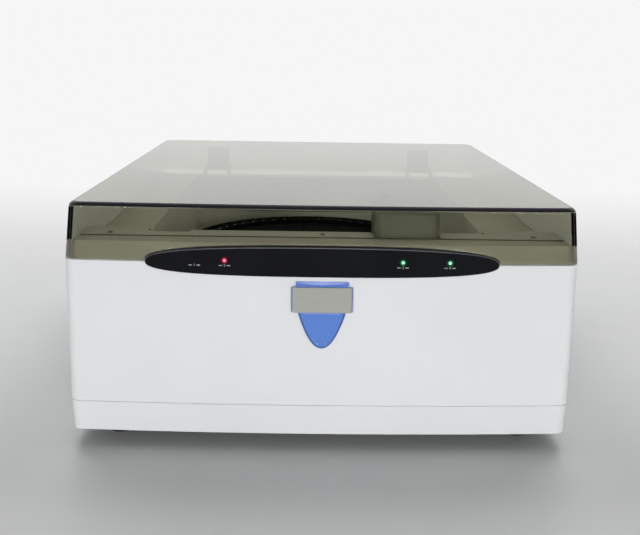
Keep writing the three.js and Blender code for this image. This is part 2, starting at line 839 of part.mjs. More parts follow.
function addHinges() {
  const at = (y, z) => [hingeY + y, hingeZ + z];
  const baseTop = deckTopZ + seat + bracketBaseThickness - hingeZ;
  const earArc = Array.from({ length: earSteps + 1 }, (_, i) => {
    const [first, last] = earArcDegrees;
    const turn = THREE.MathUtils.degToRad(first + ((last - first) * i) / earSteps);
    return at(earRadius * Math.cos(turn), earRadius * Math.sin(turn));
  });
  const ear = points([
    at(-bracketBaseFront, baseTop - bracketBaseThickness / 2),
    at(-bracketBaseBack, baseTop - bracketBaseThickness / 2),
    ...earArc,
    at(-bracketBaseFront, baseTop + earThickness),
  ]);
  const leafFront = rearY - lidWall - seat - leafThickness;
  for (const [side, way] of [["left", -1], ["right", 1]]) {
    const x = way * hingeX;
    const earInner = knuckleHalf + seat;
    const earOuter = earInner + earThickness;
    const bore = (radius) => cylinderX(radius, [x - hingeX, x + hingeX], [hingeY, hingeZ]);
    const baseY = [hingeY - bracketBaseFront, hingeY - bracketBaseBack];
    const base = box([x - earOuter, x + earOuter], baseY, [deckTopZ + seat, hingeZ + baseTop]);
    const bracket = join(
      base,
      extrude(ear, [x - earOuter, x - earInner], "x"),
      extrude(ear, [x + earInner, x + earOuter], "x"),
    );
    add(`hinge_bracket_${side}`, cut(bracket, bore(pinRadius + running)), steelGrey, 0.35, 0.9);
    const pinEnds = [x - earOuter - pinOverhang, x + earOuter + pinOverhang];
    add(`hinge_pin_${side}`, cylinderX(pinRadius, pinEnds, [hingeY, hingeZ]), steelGrey, 0.3, 0.9);
    const knuckle = cylinderX(knuckleRadius, [x - knuckleHalf, x + knuckleHalf], [hingeY, hingeZ]);
    const plateZ = [hingeZ - pinRadius, hingeZ + leafHeight];
    const plate = box([x - knuckleHalf, x + knuckleHalf], [leafFront, leafFront + leafThickness], plateZ);
    add(`lid_hinge_leaf_${side}`, cut(join(knuckle, plate), bore(pinRadius + running)), steelGrey, 0.35, 0.9);
  }
}

// Carousel and its drive
const pitchAngle = (2 * Math.PI) / pitches;

function addRacks() {
  const each = pitches / racks;
  const reach = Math.floor(each / 2);
  const rackGap = seat / (2 * ringInner);
  for (let rack = 0; rack < racks; rack++) {
    const first = rack * each - reach;
    const angleAt = (pitch) => tipAngle + (first + pitch - 0.5) * pitchAngle;
    const bend = (radius, pitch) => {
      const shift = pitch === 0 ? rackGap : pitch === each ? -rackGap : 0;
      const turn = angleAt(pitch) + shift;
      return [carouselX + radius * Math.cos(turn), carouselY + radius * Math.sin(turn)];
    };
    const steps = Array.from({ length: each + 1 }, (_, pitch) => pitch);
    const outline = [
      ...steps.map((pitch) => bend(carouselRadius, pitch)),
      ...steps.reverse().map((pitch) => bend(ringInner, pitch)),
    ];
    const seats = [];
    for (let k = first; k < first + each; k++) {
      if (blankPitches.includes((k + pitches) % pitches)) continue;
      const turn = tipAngle + k * pitchAngle;
      const hole = new THREE.CylinderGeometry(seatRadius, seatRadius, seatDepth + overrun, seatSides);
      hole.rotateX(Math.PI / 2);
      hole.rotateZ(turn);
      const middle = ringTopZ + (overrun - seatDepth) / 2;
      const [x, y] = [carouselX + seatCircle * Math.cos(turn), carouselY + seatCircle * Math.sin(turn)];
      hole.translate(x, y, middle);
      seats.push(solid(hole));
    }
    const name = `vial_rack_${"abcd"[rack]}`;
    add(name, cut(extrude(points(outline), [ringBottomZ, ringTopZ]), ...seats), carouselBlack, 0.4);
  }
}

function addCarousel() {
  const bore = spindleRadius + seat;
  const hatOuter = ringInner * Math.cos(pitchAngle / 2) - seat;
  const hatInner = hatOuter - hatWall;
  const place = [carouselX, carouselY];
  const plate = [
    [bore, hubBottomZ],
    [hubRadius, hubBottomZ],
    [hubRadius, hatTopZ - hatThickness],
    [hatInner, hatTopZ - hatThickness],
    [hatInner, plateBottomZ],
    [carouselRadius, plateBottomZ],
    [carouselRadius, plateTopZ],
    [hatOuter, plateTopZ],
    [hatOuter, hatTopZ],
    [bore, hatTopZ],
    [bore, hubBottomZ],
  ];
  add("carousel_plate", turned(plate, place, pitches), carouselBlack, 0.4);
  addRacks();
  const knobZ = hatTopZ + seat;
  const spindleTop = knobZ + knobHeight - knobChamfer * 2;
  const knob = [
    [bore, knobZ],
    [knobRadius - knobChamfer, knobZ],
    [knobRadius, knobZ + knobChamfer],
    [knobRadius, knobZ + knobHeight - knobChamfer],
    [knobRadius - knobChamfer, knobZ + knobHeight],
    [0, knobZ + knobHeight],
    [0, spindleTop + seat],
    [bore, spindleTop + seat],
    [bore, knobZ],
  ];
  add("carousel_knob", turned(knob, place), carouselBlack, 0.35);
  const spindle = [
    [0, pulleyBottomZ],
    [spindleRadius, pulleyBottomZ],
    [spindleRadius, collarZ],
    [collarRadius, collarZ],
    [collarRadius, collarZ + collarHeight],
    [spindleRadius, collarZ + collarHeight],
    [spindleRadius, spindleTop],
    [0, spindleTop],
  ];
  add("carousel_spindle", turned(spindle, place), steelGrey, 0.3, 0.9);
}

function addBearings() {
  const place = [carouselX, carouselY];
  const bore = bearingOuter + running;
  const outer = bore + housingWall;
  const tube = [
    [bore, housingBottomZ],
    [housingFlange, housingBottomZ],
    [housingFlange, flangeTopZ],
    [outer, flangeTopZ],
    [outer, housingTopZ],
    [bore, housingTopZ],
    [bore, housingBottomZ],
  ];
  add("bearing_housing", turned(tube, place), steelGrey, 0.45, 0.8);
  const lower = housingBottomZ + overrun;
  const upper = housingTopZ - overrun - bearingHeight;
  for (const [name, z] of [["bearing_lower", lower], ["bearing_upper", upper]]) {
    const ring = [
      [spindleRadius + running, z],
      [bearingOuter, z],
      [bearingOuter, z + bearingHeight],
      [spindleRadius + running, z + bearingHeight],
      [spindleRadius + running, z],
    ];
    add(name, turned(ring, place), steelGrey, 0.25, 0.9);
  }
  const acrossX = [carouselX - bridgeHalfX, carouselX + bridgeHalfX];
  const acrossY = [carouselY - bridgeHalfY, carouselY + bridgeHalfY];
  const top = box(acrossX, acrossY, [bridgeTopZ - bridgeThickness, bridgeTopZ]);
  const legs = [-1, 1].flatMap((way) => {
    const [near, far] = [bridgeHalfY - bridgeThickness, bridgeHalfY];
    const span = (a, b) => (way > 0 ? [carouselY + a, carouselY + b] : [carouselY - b, carouselY - a]);
    return [
      box(acrossX, span(near, far), [standZ, bridgeTopZ - bridgeThickness / 2]),
      box(acrossX, span(near, far + bridgeFoot), [standZ, standZ + bridgeThickness]),
    ];
  });
  const hole = cylinder(bore + seat, place, [standZ, bridgeTopZ + overrun], fineSides);
  add("drive_bridge", cut(join(top, ...legs), hole), steelGrey, 0.4, 0.8);
}

const beltRadius = (teeth) => (teeth * beltPitch) / (2 * Math.PI);

// Profile of a pulley with two rims, from the axis, or from a bore, outwards.
function pulleyProfile(teeth, inner) {
  const wheel = beltRadius(teeth) - beltThickness / 2 - seat;
  const low = beltBottomZ - beltSideGap;
  const high = beltBottomZ + beltHeight + beltSideGap;
  const rim = wheel + beltThickness + pulleyRim;
  return [
    [inner, pulleyBottomZ],
    [rim, pulleyBottomZ],
    [rim, low],
    [wheel, low],
    [wheel, high],
    [rim, high],
    [rim, pulleyTopZ],
    [inner, pulleyTopZ],
  ];
}

function beltOutline(offset) {
  const [big, small] = [beltRadius(carouselTeeth) + offset, beltRadius(motorTeeth) + offset];
  const tangent = Math.acos((big - small) / motorDistance);
  const round = (x, radius, from, to) =>
    Array.from({ length: beltSteps + 1 }, (_, i) => {
      const turn = from + ((to - from) * i) / beltSteps;
      return [x + radius * Math.cos(turn), carouselY + radius * Math.sin(turn)];
    });
  return points([
    ...round(carouselX, big, tangent, 2 * Math.PI - tangent),
    ...round(carouselX + motorDistance, small, -tangent, tangent),
  ]);
}

function addBeltDrive() {
  const place = [carouselX, carouselY];
  const motorPlace = [carouselX + motorDistance, carouselY];
  const pulley = pulleyProfile(carouselTeeth, spindleRadius + seat);
  add("carousel_pulley", turned([...pulley, pulley[0]], place, 2 * fineSides), steelGrey, 0.45, 0.6);
  const [bottom, ...rest] = pulleyProfile(motorTeeth, 0);
  const shaft = [
    [0, motorTopZ - motorShaftDepth],
    [motorShaftRadius, motorTopZ - motorShaftDepth],
    [motorShaftRadius, bottom[1]],
  ];
  add("motor_pulley", turned([...shaft, ...rest], motorPlace), steelGrey, 0.45, 0.6);
  const beltZ = [beltBottomZ, beltBottomZ + beltHeight];
  const past = [beltZ[0] - overrun, beltZ[1] + overrun];
  const belt = cut(
    extrude(beltOutline(beltThickness / 2), beltZ),
    extrude(beltOutline(-beltThickness / 2), past),
  );
  add("drive_belt", belt, rubberBlack, 0.8);
  const [x, y] = motorPlace;
  const half = motorSize / 2;
  const flat = half - motorChamfer;
  const ring = [
    [flat, -half],
    [half, -flat],
    [half, flat],
    [flat, half],
    [-flat, half],
    [-half, flat],
    [-half, -flat],
    [-flat, -half],
  ];
  const body = extrude(points(ring.map(([u, v]) => [x + u, y + v])), [standZ, motorTopZ]);
  const socketZ = [motorTopZ - motorShaftDepth - seat, motorTopZ + overrun];
  const socket = cylinder(motorShaftRadius + seat, motorPlace, socketZ);
  add("carousel_motor", cut(body, socket), carouselBlack, 0.5, 0.3);
  const plateZ = [motorTopZ + seat, motorTopZ + seat + sheet];
  const legX = [x + half + seat, x + half + seat + sheet];
  const bracket = join(
    box([x - half, legX[1]], [y - half, y + half], plateZ),
    box(legX, [y - half, y + half], [standZ, plateZ[1]]),
    box([legX[0], legX[1] + bracketFoot], [y - half, y + half], [standZ, standZ + sheet]),
  );
  const hole = cylinder(bracketHole, motorPlace, [plateZ[0] - overrun, plateZ[1] + overrun], fineSides);
  add("motor_bracket", cut(bracket, hole), steelGrey, 0.4, 0.8);
}

// Sampler tower with its lift
const slotX = [tipX - armWidth / 2 - slotGap, tipX + armWidth / 2 + slotGap];

function addTowerHousing() {
  const section = (inset, radius, z) => {
    const outline = roundedOutline(
      [towerLeft + inset, towerRight - inset],
      [behind(towerFront) + inset, behind(towerBack) - inset],
      radius,
    );
    return ringAt(outline, z);
  };
  const edge = Array.from({ length: edgeSteps + 1 }, (_, i) => {
    const turn = quarterTurn * (i / edgeSteps);
    const inset = towerEdge * (1 - Math.cos(turn));
    return section(inset, towerCorner - inset, towerTopZ - towerEdge * (1 - Math.sin(turn)));
  });
  const outer = loft([section(0, towerCorner, towerBottomZ), ...edge]);
  const radius = towerCorner - towerWall;
  const inner = loft([
    section(towerWall, radius, towerBottomZ - overrun),
    section(towerWall, radius, towerTopZ - towerWall),
  ]);
  const slotY = [behind(towerBack) - towerWall - overrun, behind(towerBack) + overrun];
  const slot = box(slotX, slotY, [towerBottomZ - overrun, armTopZ + slotTopGap]);
  add("tower_housing", cut(outer, inner, slot), towerOlive, 0.35);
}

function addTowerFrame() {
  const x = [frameX - frameHalf, frameX + frameHalf];
  const back = frameY + frameThickness;
  const plate = box(x, [frameY, back], [standZ, frameTopZ]);
  const top = box(x, [frameY, frameY + frameTopDepth], [frameTopZ - frameTopPlate, frameTopZ]);
  const base = box(x, [frameY, frameY + frameBaseDepth], [frameBaseZ, frameBaseZ + frameBasePlate]);
  const foot = box(x, [back - frameFootDepth, back], [standZ, standZ + frameThickness]);
  const half = liftMotorSize / 2 + windowGap;
  const window = box(
    [frameX - half, frameX + half],
    [frameY - overrun, back + overrun],
    [frameBaseZ - liftMotorHeight - 2 * windowGap, frameBaseZ],
  );
  const holes = rodPlaces().flatMap(([px]) => [
    cylinder(rodRadius + running, [px, rodY], [frameBaseZ + overrun, frameBaseZ + frameBasePlate + overrun]),
    cylinder(rodRadius + running, [px, rodY], [frameTopZ - frameTopPlate - overrun, frameTopZ + overrun]),
  ]);
  const screwHole = cylinder(screwRadius + seat, [frameX, rodY], [frameBaseZ - overrun, frameTopZ + overrun]);
  add("tower_frame", cut(join(plate, top, base, foot), window, screwHole, ...holes), steelGrey, 0.4, 0.8);
}

const rodPlaces = () => [[frameX - rodSpacing / 2, "left"], [frameX + rodSpacing / 2, "right"]];

function addLift() {
  for (const [x, side] of rodPlaces()) {
    const rod = cylinder(rodRadius, [x, rodY], [frameBaseZ + overrun + seat, frameTopZ - seat]);
    add(`guide_rod_${side}`, rod, steelGrey, 0.15, 1);
  }
  const half = liftMotorSize / 2;
  const motorY = [rodY - half, rodY + half];
  const motorZ = [frameBaseZ - seat - liftMotorHeight, frameBaseZ - seat];
  const boss = cylinder(liftMotorBoss, [frameX, rodY], [motorZ[1] - liftMotorBoss, motorZ[1] + overrun]);
  const motor = cut(box([frameX - half, frameX + half], motorY, motorZ), boss);
  add("lift_motor", motor, carouselBlack, 0.5, 0.3);
  const screwZ = [motorZ[1] - liftMotorBoss + seat, frameTopZ - seat];
  add("lift_screw", cylinder(screwRadius, [frameX, rodY], screwZ), steelGrey, 0.25, 0.9);
  const blockY = [carriageY, rodY + rodRadius + carriageWall];
  const blockX = [frameX - carriageHalf, frameX + carriageHalf];
  const block = box(blockX, blockY, [armTopZ - carriageHeight, armTopZ]);
  const armX = [tipX - armWidth / 2, tipX + armWidth / 2];
  const armOutline = roundedOutline(armX, [blockY[0], tipY + armWidth / 2], armWidth / 2 - weld);
  const arm = extrude(armOutline, [armBottomZ, armTopZ]);
  const squareEnd = box(armX, [blockY[0], tipY], [armBottomZ, armTopZ]);
  const past = [armTopZ - carriageHeight - overrun, armTopZ + overrun];
  const bores = rodPlaces().map(([x]) => cylinder(rodRadius + running, [x, rodY], past));
  const shape = cut(
    join(block, arm, squareEnd),
    cylinder(screwRadius + running, [frameX, rodY], past),
    cylinder(tipRadius + seat, [tipX, tipY], past),
    ...bores,
  );
  add("lift_carriage", shape, panelBlack, 0.4);
  const tipZ = armBottomZ - tipLength;
  const collarZ0 = armTopZ + seat;
  const tip = [
    [fittingBore, tipZ],
    [tipEndRadius, tipZ],
    [tipRadius, tipZ + tipConeLength],
    [tipRadius, collarZ0],
    [tipCollarRadius, collarZ0],
    [tipCollarRadius, collarZ0 + tipCollarHeight],
    [fittingRadius, collarZ0 + tipCollarHeight],
    [fittingRadius, collarZ0 + fittingHeight],
    [fittingBore, collarZ0 + fittingHeight],
    [fittingBore, tipZ],
  ];
  add("sampling_tip", turned(tip, [tipX, tipY], roundSides), brassYellow, 0.35);
}

// Electronics and back fittings
const supplyLeft = -halfWidth + supplySide;
const supplyRight = supplyLeft + supplyWidth;
const boardLeft = supplyRight + boardGap;
const boardRight = boardLeft + boardWidth;
const boardY = [rearY - boardRear - boardDepth, rearY - boardRear];

const boardCorners = () =>
  [boardLeft + boardBossInset, boardRight - boardBossInset].flatMap((x) =>
    [boardY[0] + boardBossInset, boardY[1] - boardBossInset].map((y) => [x, y]),
  );

function addElectronics() {
  const z = panTopZ + boardBossHeight + seat;
  const top = z + boardThickness;
  const board = box([boardLeft, boardRight], boardY, [z, top]);
  const chips = chipShares.map((chip) => {
    const x = chip.x.map((share) => boardLeft + share * boardWidth);
    const y = chip.y.map((share) => boardY[0] + share * boardDepth);
    return box(x, y, [z, top + chipHeight]);
  });
  add("control_board", join(board, ...chips), boardGreen, 0.5);
  const supply = [rearY - supplyRear - supplyDepth, rearY - supplyRear];
  const can = box([supplyLeft, supplyRight], supply, [standZ, standZ + supplyHeight]);
  const lip = box([supplyLeft - seat, supplyRight + supplyLip], supply, [standZ, standZ + sheet]);
  add("power_supply", join(can, lip), steelGrey, 0.4, 0.8);
}

// A fitting in the back panel: a body through its hole and a flange outside, both closed.
function backFitting(x, width, height, depth) {
  const flangeY = [backOuterY + seat, backOuterY + seat + fittingFlange];
  const piece = (grow, y) => {
    const [halfX, halfZ] = [width / 2 + grow, height / 2 + grow];
    return box([x - halfX, x + halfX], y, [inletZ - halfZ, inletZ + halfZ]);
  };
  return join(piece(0, [backOuterY - depth, flangeY[1]]), piece(fittingLip, flangeY));
}

function addInlet() {
  const [halfX, halfZ] = [inletWidth / 2 - inletWall, inletHeight / 2 - inletWall];
  const floorY = backOuterY - inletDepth + inletWall;
  const z = [inletZ - halfZ, inletZ + halfZ];
  const recess = box([inletX - halfX, inletX + halfX], [floorY, rearY + overrun], z);
  const pins = [-1, 0, 1].map((place) => {
    const x = inletX + place * inletPinSpacing;
    const middle = inletZ + (place ? -inletPinHeight : inletPinHeight);
    return box(
      [x - inletPinWidth / 2, x + inletPinWidth / 2],
      [floorY - inletWall / 2, floorY + inletPinLength],
      [middle - inletPinHeight / 2, middle + inletPinHeight / 2],
    );
  });
  const shell = backFitting(inletX, inletWidth, inletHeight, inletDepth);
  add("power_inlet", join(cut(shell, recess), ...pins), panelBlack, 0.5);
}

function addSwitch() {
  const [halfX, halfZ] = [switchWidth / 2 - switchWall, switchHeight / 2 - switchWall];
  const floorY = backOuterY - switchDepth + switchWall;
  const z = [inletZ - halfZ, inletZ + halfZ];
  const recess = box([switchX - halfX, switchX + halfX], [floorY, rearY + overrun], z);
  const shell = backFitting(switchX, switchWidth, switchHeight, switchDepth);
  add("switch_bezel", cut(shell, recess), panelBlack, 0.5);
  const tilt = THREE.MathUtils.degToRad(rockerTiltDegrees);
  const outline = [
    [-rockerBack, -rockerBackHalf],
    [rockerFace, -rockerHalfHeight],
    [rockerFace - rockerDish, 0],
    [rockerFace, rockerHalfHeight],
    [-rockerBack, rockerBackHalf],
  ];
  const y = rearY - rockerInset;
  const turnedOutline = outline.map(([u, v]) => [
    y + u * Math.cos(tilt) - v * Math.sin(tilt),
    inletZ + u * Math.sin(tilt) + v * Math.cos(tilt),
  ]);
  const rockerX = [switchX - halfX + seat, switchX + halfX - seat];
  add("power_rocker", extrude(points(turnedOutline), rockerX, "x"), carouselBlack, 0.35);
}

function addRelayConnector() {
  const holes = Array.from({ length: relayHoles }, (_, i) => {
    const x = relayX + (relayWidth / relayHoles) * (i - (relayHoles - 1) / 2);
    const half = relayHoleSize / 2;
    const y = [rearY - relayHoleDepth, rearY + overrun];
    return box([x - half, x + half], y, [inletZ - half, inletZ + half]);
  });
  const shell = backFitting(relayX, relayWidth, relayHeight, relayDepth);
  add("relay_connector", cut(shell, ...holes), boardGreen, 0.5);
}

addSkirt();
addBasePan();
addFrontPanel();
addSidePanels();
addBackPanel();
addFeet();
addDeckPlate();
addFrontLedge();
addWell();
addScrews();
addStatusPanel();
addIndicators();
addBadge();
addLid();
addHinges();
addCarousel();
addBearings();
addBeltDrive();
addTowerHousing();
addTowerFrame();
addLift();
addElectronics();
addInlet();
addSwitch();
addRelayConnector();

export default part;
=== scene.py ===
# The finished look of a bench autosampler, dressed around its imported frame.
# Units are metres. +Z is up, +X is right seen from the front, and the front faces -Y.
import json
from math import atan2, copysign, cos, degrees, dist, hypot, pi, radians, sin, sqrt

import bmesh
import bpy
from mathutils import Matrix, Vector


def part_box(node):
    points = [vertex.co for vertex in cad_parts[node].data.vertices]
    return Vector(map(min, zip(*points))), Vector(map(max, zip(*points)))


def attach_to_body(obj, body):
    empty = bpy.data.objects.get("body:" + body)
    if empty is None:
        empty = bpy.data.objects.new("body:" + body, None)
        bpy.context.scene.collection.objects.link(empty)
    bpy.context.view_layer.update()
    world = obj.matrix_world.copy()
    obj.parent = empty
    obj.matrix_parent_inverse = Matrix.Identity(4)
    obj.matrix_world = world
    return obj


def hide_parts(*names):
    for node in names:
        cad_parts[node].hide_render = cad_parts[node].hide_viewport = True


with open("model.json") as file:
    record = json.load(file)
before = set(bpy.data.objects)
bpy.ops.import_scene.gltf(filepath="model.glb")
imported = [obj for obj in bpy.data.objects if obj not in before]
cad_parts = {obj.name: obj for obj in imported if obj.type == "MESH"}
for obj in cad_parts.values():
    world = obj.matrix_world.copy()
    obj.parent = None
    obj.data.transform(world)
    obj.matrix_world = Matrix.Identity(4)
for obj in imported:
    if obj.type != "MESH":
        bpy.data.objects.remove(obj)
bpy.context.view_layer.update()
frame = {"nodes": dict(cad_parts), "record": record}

nodes = frame["nodes"]
record = frame["record"]
body_of = {n: body for body, members in record["behaviour"]["bodies"].items() for n in members}
slot_of = {part["node"]: part["material_slot"] for part in record["subparts"]}
MM = 0.001
TURN = 2 * pi
SIDES = ("left", "right")


# Points and outlines
def in_mm(pairs, base=0.0, out=0.0):
    """Pairs written in millimetres as metres, the first of each counted from out, the second from base."""
    return [(out + u * MM, base + v * MM) for u, v in pairs]


def posed(place, *turns):
    """A move to a place after turns about axes in degrees, the last of them first."""
    matrix = Matrix.Translation(place)
    for axis, angle in turns:
        matrix = matrix @ Matrix.Rotation(radians(angle), 4, axis)
    return matrix


def span(base, low, high):
    """Two places in millimetres from a base in metres."""
    return base + low * MM, base + high * MM


def quarter_turns(steps):
    return [TURN / 4 * i / steps for i in range(steps + 1)]


def polar(centre, radius, turn):
    return centre[0] + radius * cos(turn), centre[1] + radius * sin(turn)


def placed(outline, w, way="z"):
    """An outline's points u, v at a depth w along an axis."""
    return [{"z": (u, v, w), "y": (u, w, v), "x": (w, u, v)}[way] for u, v in outline]


def arc(x, y, radius, quarter, steps):
    return [polar((x, y), radius, TURN / 4 * quarter + turn) for turn in quarter_turns(steps)]


def rounded(x, y, radius, steps=8):
    outline = []
    for quarter, (i, j) in enumerate(((1, 1), (0, 1), (0, 0), (1, 0))):
        outline += arc(x[i] + (1 - 2 * i) * radius, y[j] + (1 - 2 * j) * radius, radius, quarter, steps)
    return outline


# Meshes
def add_object(name, data):
    made = bpy.data.objects.new(name, data)
    bpy.context.scene.collection.objects.link(made)
    return made


def work_object(name, work, mesh=None):
    mesh = mesh or bpy.data.meshes.new(name)
    work.to_mesh(mesh)
    work.free()
    return add_object(name, mesh)


def mesh_object(name, points, faces):
    mesh = bpy.data.meshes.new(name)
    mesh.from_pydata(points, [], faces)
    work = bmesh.new()
    work.from_mesh(mesh)
    bmesh.ops.remove_doubles(work, verts=work.verts, dist=1e-6)
    bmesh.ops.dissolve_degenerate(work, edges=work.edges, dist=1e-7)
    bmesh.ops.recalc_face_normals(work, faces=work.faces)
    return work_object(name, work, mesh)


def skin(rings):
    """The points of rings of as many points each, and the faces that join ring to ring."""
    count = len(rings[0])
    faces = []
    for start in range(0, (len(rings) - 1) * count, count):
        for i in range(count):
            j = (i + 1) % count
            faces.append((start + i, start + j, start + count + j, start + count + i))
    return [p for ring in rings for p in ring], faces


def loft(name, rings, caps=True):
    points, faces = skin(rings)
    if caps:
        count, total = len(rings[0]), len(points)
        faces += [tuple(reversed(range(count))), tuple(range(total - count, total))]
    return mesh_object(name, points, faces)


def prism(name, outline, low, high, way="z"):
    return loft(name, [placed(outline, w, way) for w in (low, high)])


def block(name, x, y, z):
    return prism(name, [(x[0], y[0]), (x[1], y[0]), (x[1], y[1]), (x[0], y[1])], *z)


def lathe(name, profile, centre, sides=64, way="z", radius_at=None):
    """Turns a profile of radius and height about an axis through centre; radius_at may shape it by angle."""
    shape = radius_at or (lambda radius, height, turn: radius)
    turns = [TURN * i / sides for i in range(sides)]
    rings = []
    for radius, height in profile:
        spots = [polar(centre, shape(radius, height, turn), turn) for turn in turns]
        rings.append(placed(spots, height, way))
    return loft(name, rings, caps=False)


def shown_mesh(piece):
    return bpy.data.meshes.new_from_object(piece.evaluated_get(bpy.context.evaluated_depsgraph_get()))


def settle(piece):
    """Makes what the modifiers show the piece's own mesh."""
    mesh = shown_mesh(piece)
    old = piece.data
    piece.modifiers.clear()
    piece.data = mesh
    bpy.data.meshes.remove(old)
    return piece


def carve(piece, *others):
    for other in others:
        step = piece.modifiers.new("carve", "BOOLEAN")
        step.operation = "DIFFERENCE"
        step.solver = "EXACT"
        step.object = other
    settle(piece)
    for other in others:
        bpy.data.objects.remove(other)
    return piece


def soften(piece, smooth=35):
    """Shades the edges below an angle smooth, with large faces flat."""
    mesh = piece.data
    if "custom_normal" in mesh.attributes:
        mesh.attributes.remove(mesh.attributes["custom_normal"])
    mesh.polygons.foreach_set("use_smooth", [True] * len(mesh.polygons))
    mesh.set_sharp_from_angle(angle=radians(smooth))
    weighted = piece.modifiers.new("normals", "WEIGHTED_NORMAL")
    weighted.keep_sharp = True
    weighted.weight = 80
    return settle(piece)


def round_edges(piece, width, steps=2):
    """Rounds the sharp edges and softens the rest."""
    bevel = piece.modifiers.new("edges", "BEVEL")
    bevel.width = width
    bevel.segments = steps
    bevel.limit_method = "ANGLE"
    bevel.angle_limit = radians(32)
    return soften(settle(piece), 42)


def gathered(name, pieces):
    """Several meshes as one object."""
    work = bmesh.new()
    for piece in pieces:
        work.from_mesh(piece.data)
        bpy.data.objects.remove(piece)
    return work_object(name, work)


# Pieces on the frame
def middle(node):
    low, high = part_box(node)
    return (low + high) / 2


def attach(piece, node, slot, finish=None):
    """An added detail that moves with a CAD node's body."""
    piece.data.materials.clear()
    piece.data.materials.append(finish or finishes[slot])
    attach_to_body(piece, body_of[node])
    return piece


def dress(piece, node, finish=None):
    """The piece stands for a CAD node, on its body and with its finish."""
    attach(piece, node, slot_of[node], finish)
    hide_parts(node)
    return piece


def refine(node, width, finish=None):
    """A CAD node's own shape with whole flat faces and rounded edges."""
    work = bmesh.new()
    work.from_mesh(nodes[node].data)
    bmesh.ops.remove_doubles(work, verts=work.verts, dist=1e-6)
    bmesh.ops.dissolve_limit(work, angle_limit=radians(0.3), verts=work.verts, edges=work.edges)
    dress(round_edges(work_object(node + "_finished", work), width), node, finish)


def turned(name, profile, node, sides=64, centre=None, **shape):
    """A lathed piece that stands for a CAD node, about that node's middle if no centre is given."""
    centre = centre or tuple(middle(node))[:2]
    dress(soften(lathe(name, profile, centre, sides, **shape)), node)


# Materials
def linear(code):
    """A colour written as 0xRRGGBB, in the renderer's linear values."""
    parts = [((code >> shift) & 255) / 255 for shift in (16, 8, 0)]
    return [p / 12.92 if p <= 0.04045 else ((p + 0.055) / 1.055) ** 2.4 for p in parts] + [1.0]


def feed(node, inputs):
    """Gives each input a constant, or a link where its value is a socket."""
    for key, value in inputs.items():
        if isinstance(value, bpy.types.NodeSocket):
            node.id_data.links.new(value, node.inputs[key])
        else:
            node.inputs[key].default_value = value
    return node


def add_node(tree, kind, inputs, output=0, **settings):
    """A new node's output."""
    made = tree.nodes.new("ShaderNode" + kind)
    for key, value in settings.items():
        setattr(made, key, value)
    return feed(made, inputs).outputs[output]


def new_material(name, **sockets):
    made = bpy.data.materials.new(name)
    made.use_nodes = True
    tree = made.node_tree
    named = {key.replace("_", " "): value for key, value in sockets.items()}
    return made, tree, feed(tree.nodes["Principled BSDF"], named)


def coordinates(tree, stretch=None):
    """Object coordinates, stretched for grain that runs one way."""
    source = add_node(tree, "TexCoord", {}, "Object")
    return add_node(tree, "Mapping", {"Vector": source, "Scale": stretch}) if stretch else source


def along(tree, axis):
    return add_node(tree, "SeparateXYZ", {0: coordinates(tree)}, axis)


def noise(tree, size, detail=2.0, stretch=None):
    inputs = {"Vector": coordinates(tree, stretch), "Scale": 1 / size, "Detail": detail}
    return add_node(tree, "TexNoise", inputs)


def ramp(source, low=0.0, high=1.0, start=0.3, end=0.7, kind="LINEAR"):
    inputs = {"Value": source, "From Min": start, "From Max": end, "To Min": low, "To Max": high}
    return add_node(source.id_data, "MapRange", inputs, interpolation_type=kind)


def blend(factor, first, second):
    """A colour between two, each a 0xRRGGBB code or a socket."""
    first, second = [linear(color) if isinstance(color, int) else color for color in (first, second)]
    return add_node(factor.id_data, "Mix", {0: factor, 6: first, 7: second}, 2, data_type="RGBA")


def calculate(operation, *values):
    return add_node(values[0].id_data, "Math", dict(enumerate(values)), operation=operation)


def ray(tree, kind):
    return add_node(tree, "LightPath", {}, f"Is {kind} Ray")


def mix_shaders(factor, first, second):
    return add_node(factor.id_data, "MixShader", {0: factor, 1: first, 2: second})


def add_bump(shader, height, depth):
    feed(shader, {"Normal": add_node(shader.id_data, "Bump", {"Height": height, "Distance": depth})})


def surface(name, colors, roughness, blotch=0.05, grain=None, stretch=None, **sockets):
    """Colour and roughness that wander a little, with fine grain as bump."""
    made, tree, shader = new_material(name, **sockets)
    color = blend(ramp(noise(tree, blotch, 3.0, stretch)), *colors)
    rough = ramp(noise(tree, blotch / 3, 2.0, stretch), *roughness)
    feed(shader, {"Base Color": color, "Roughness": rough})
    if grain:
        size, depth = grain
        add_bump(shader, noise(tree, size, 2.0, stretch), depth)
    return made


SMOKE_TINT = (0.319, 0.319, 0.153, 1)
SMOKE_DENSITY = 250.0
SHEET_CLEAR = (0.97, 0.97, 0.965, 1)
SHADOW_CLEAR = (0.95, 0.95, 0.94, 1)


def smoked_acrylic():
    """Polished tinted sheet: glass that darkens with the light's way through it."""
    made, tree, shader = new_material(
        "smoked_acrylic", Base_Color=SHEET_CLEAR, IOR=1.5, Transmission_Weight=1.0
    )
    feed(shader, {"Roughness": ramp(noise(tree, 0.06, 3.0), 0.006, 0.02)})
    smoke = add_node(tree, "VolumeAbsorption", {"Color": SMOKE_TINT, "Density": SMOKE_DENSITY})
    clear = add_node(tree, "BsdfTransparent", {"Color": SHADOW_CLEAR})
    shown = mix_shaders(ray(tree, "Shadow"), shader.outputs[0], clear)
    feed(tree.nodes["Material Output"], {"Surface": shown, "Volume": smoke})
    return made


def flat_distance(tree, place):
    """Distance from a place, in X and Z only."""
    value = coordinates(tree)
    for operation, other in (("SUBTRACT", place), ("MULTIPLY", (1, 0, 1))):
        value = add_node(tree, "VectorMath", {0: value, 1: other}, operation=operation)
    return add_node(tree, "VectorMath", {0: value}, "Value", operation="LENGTH")


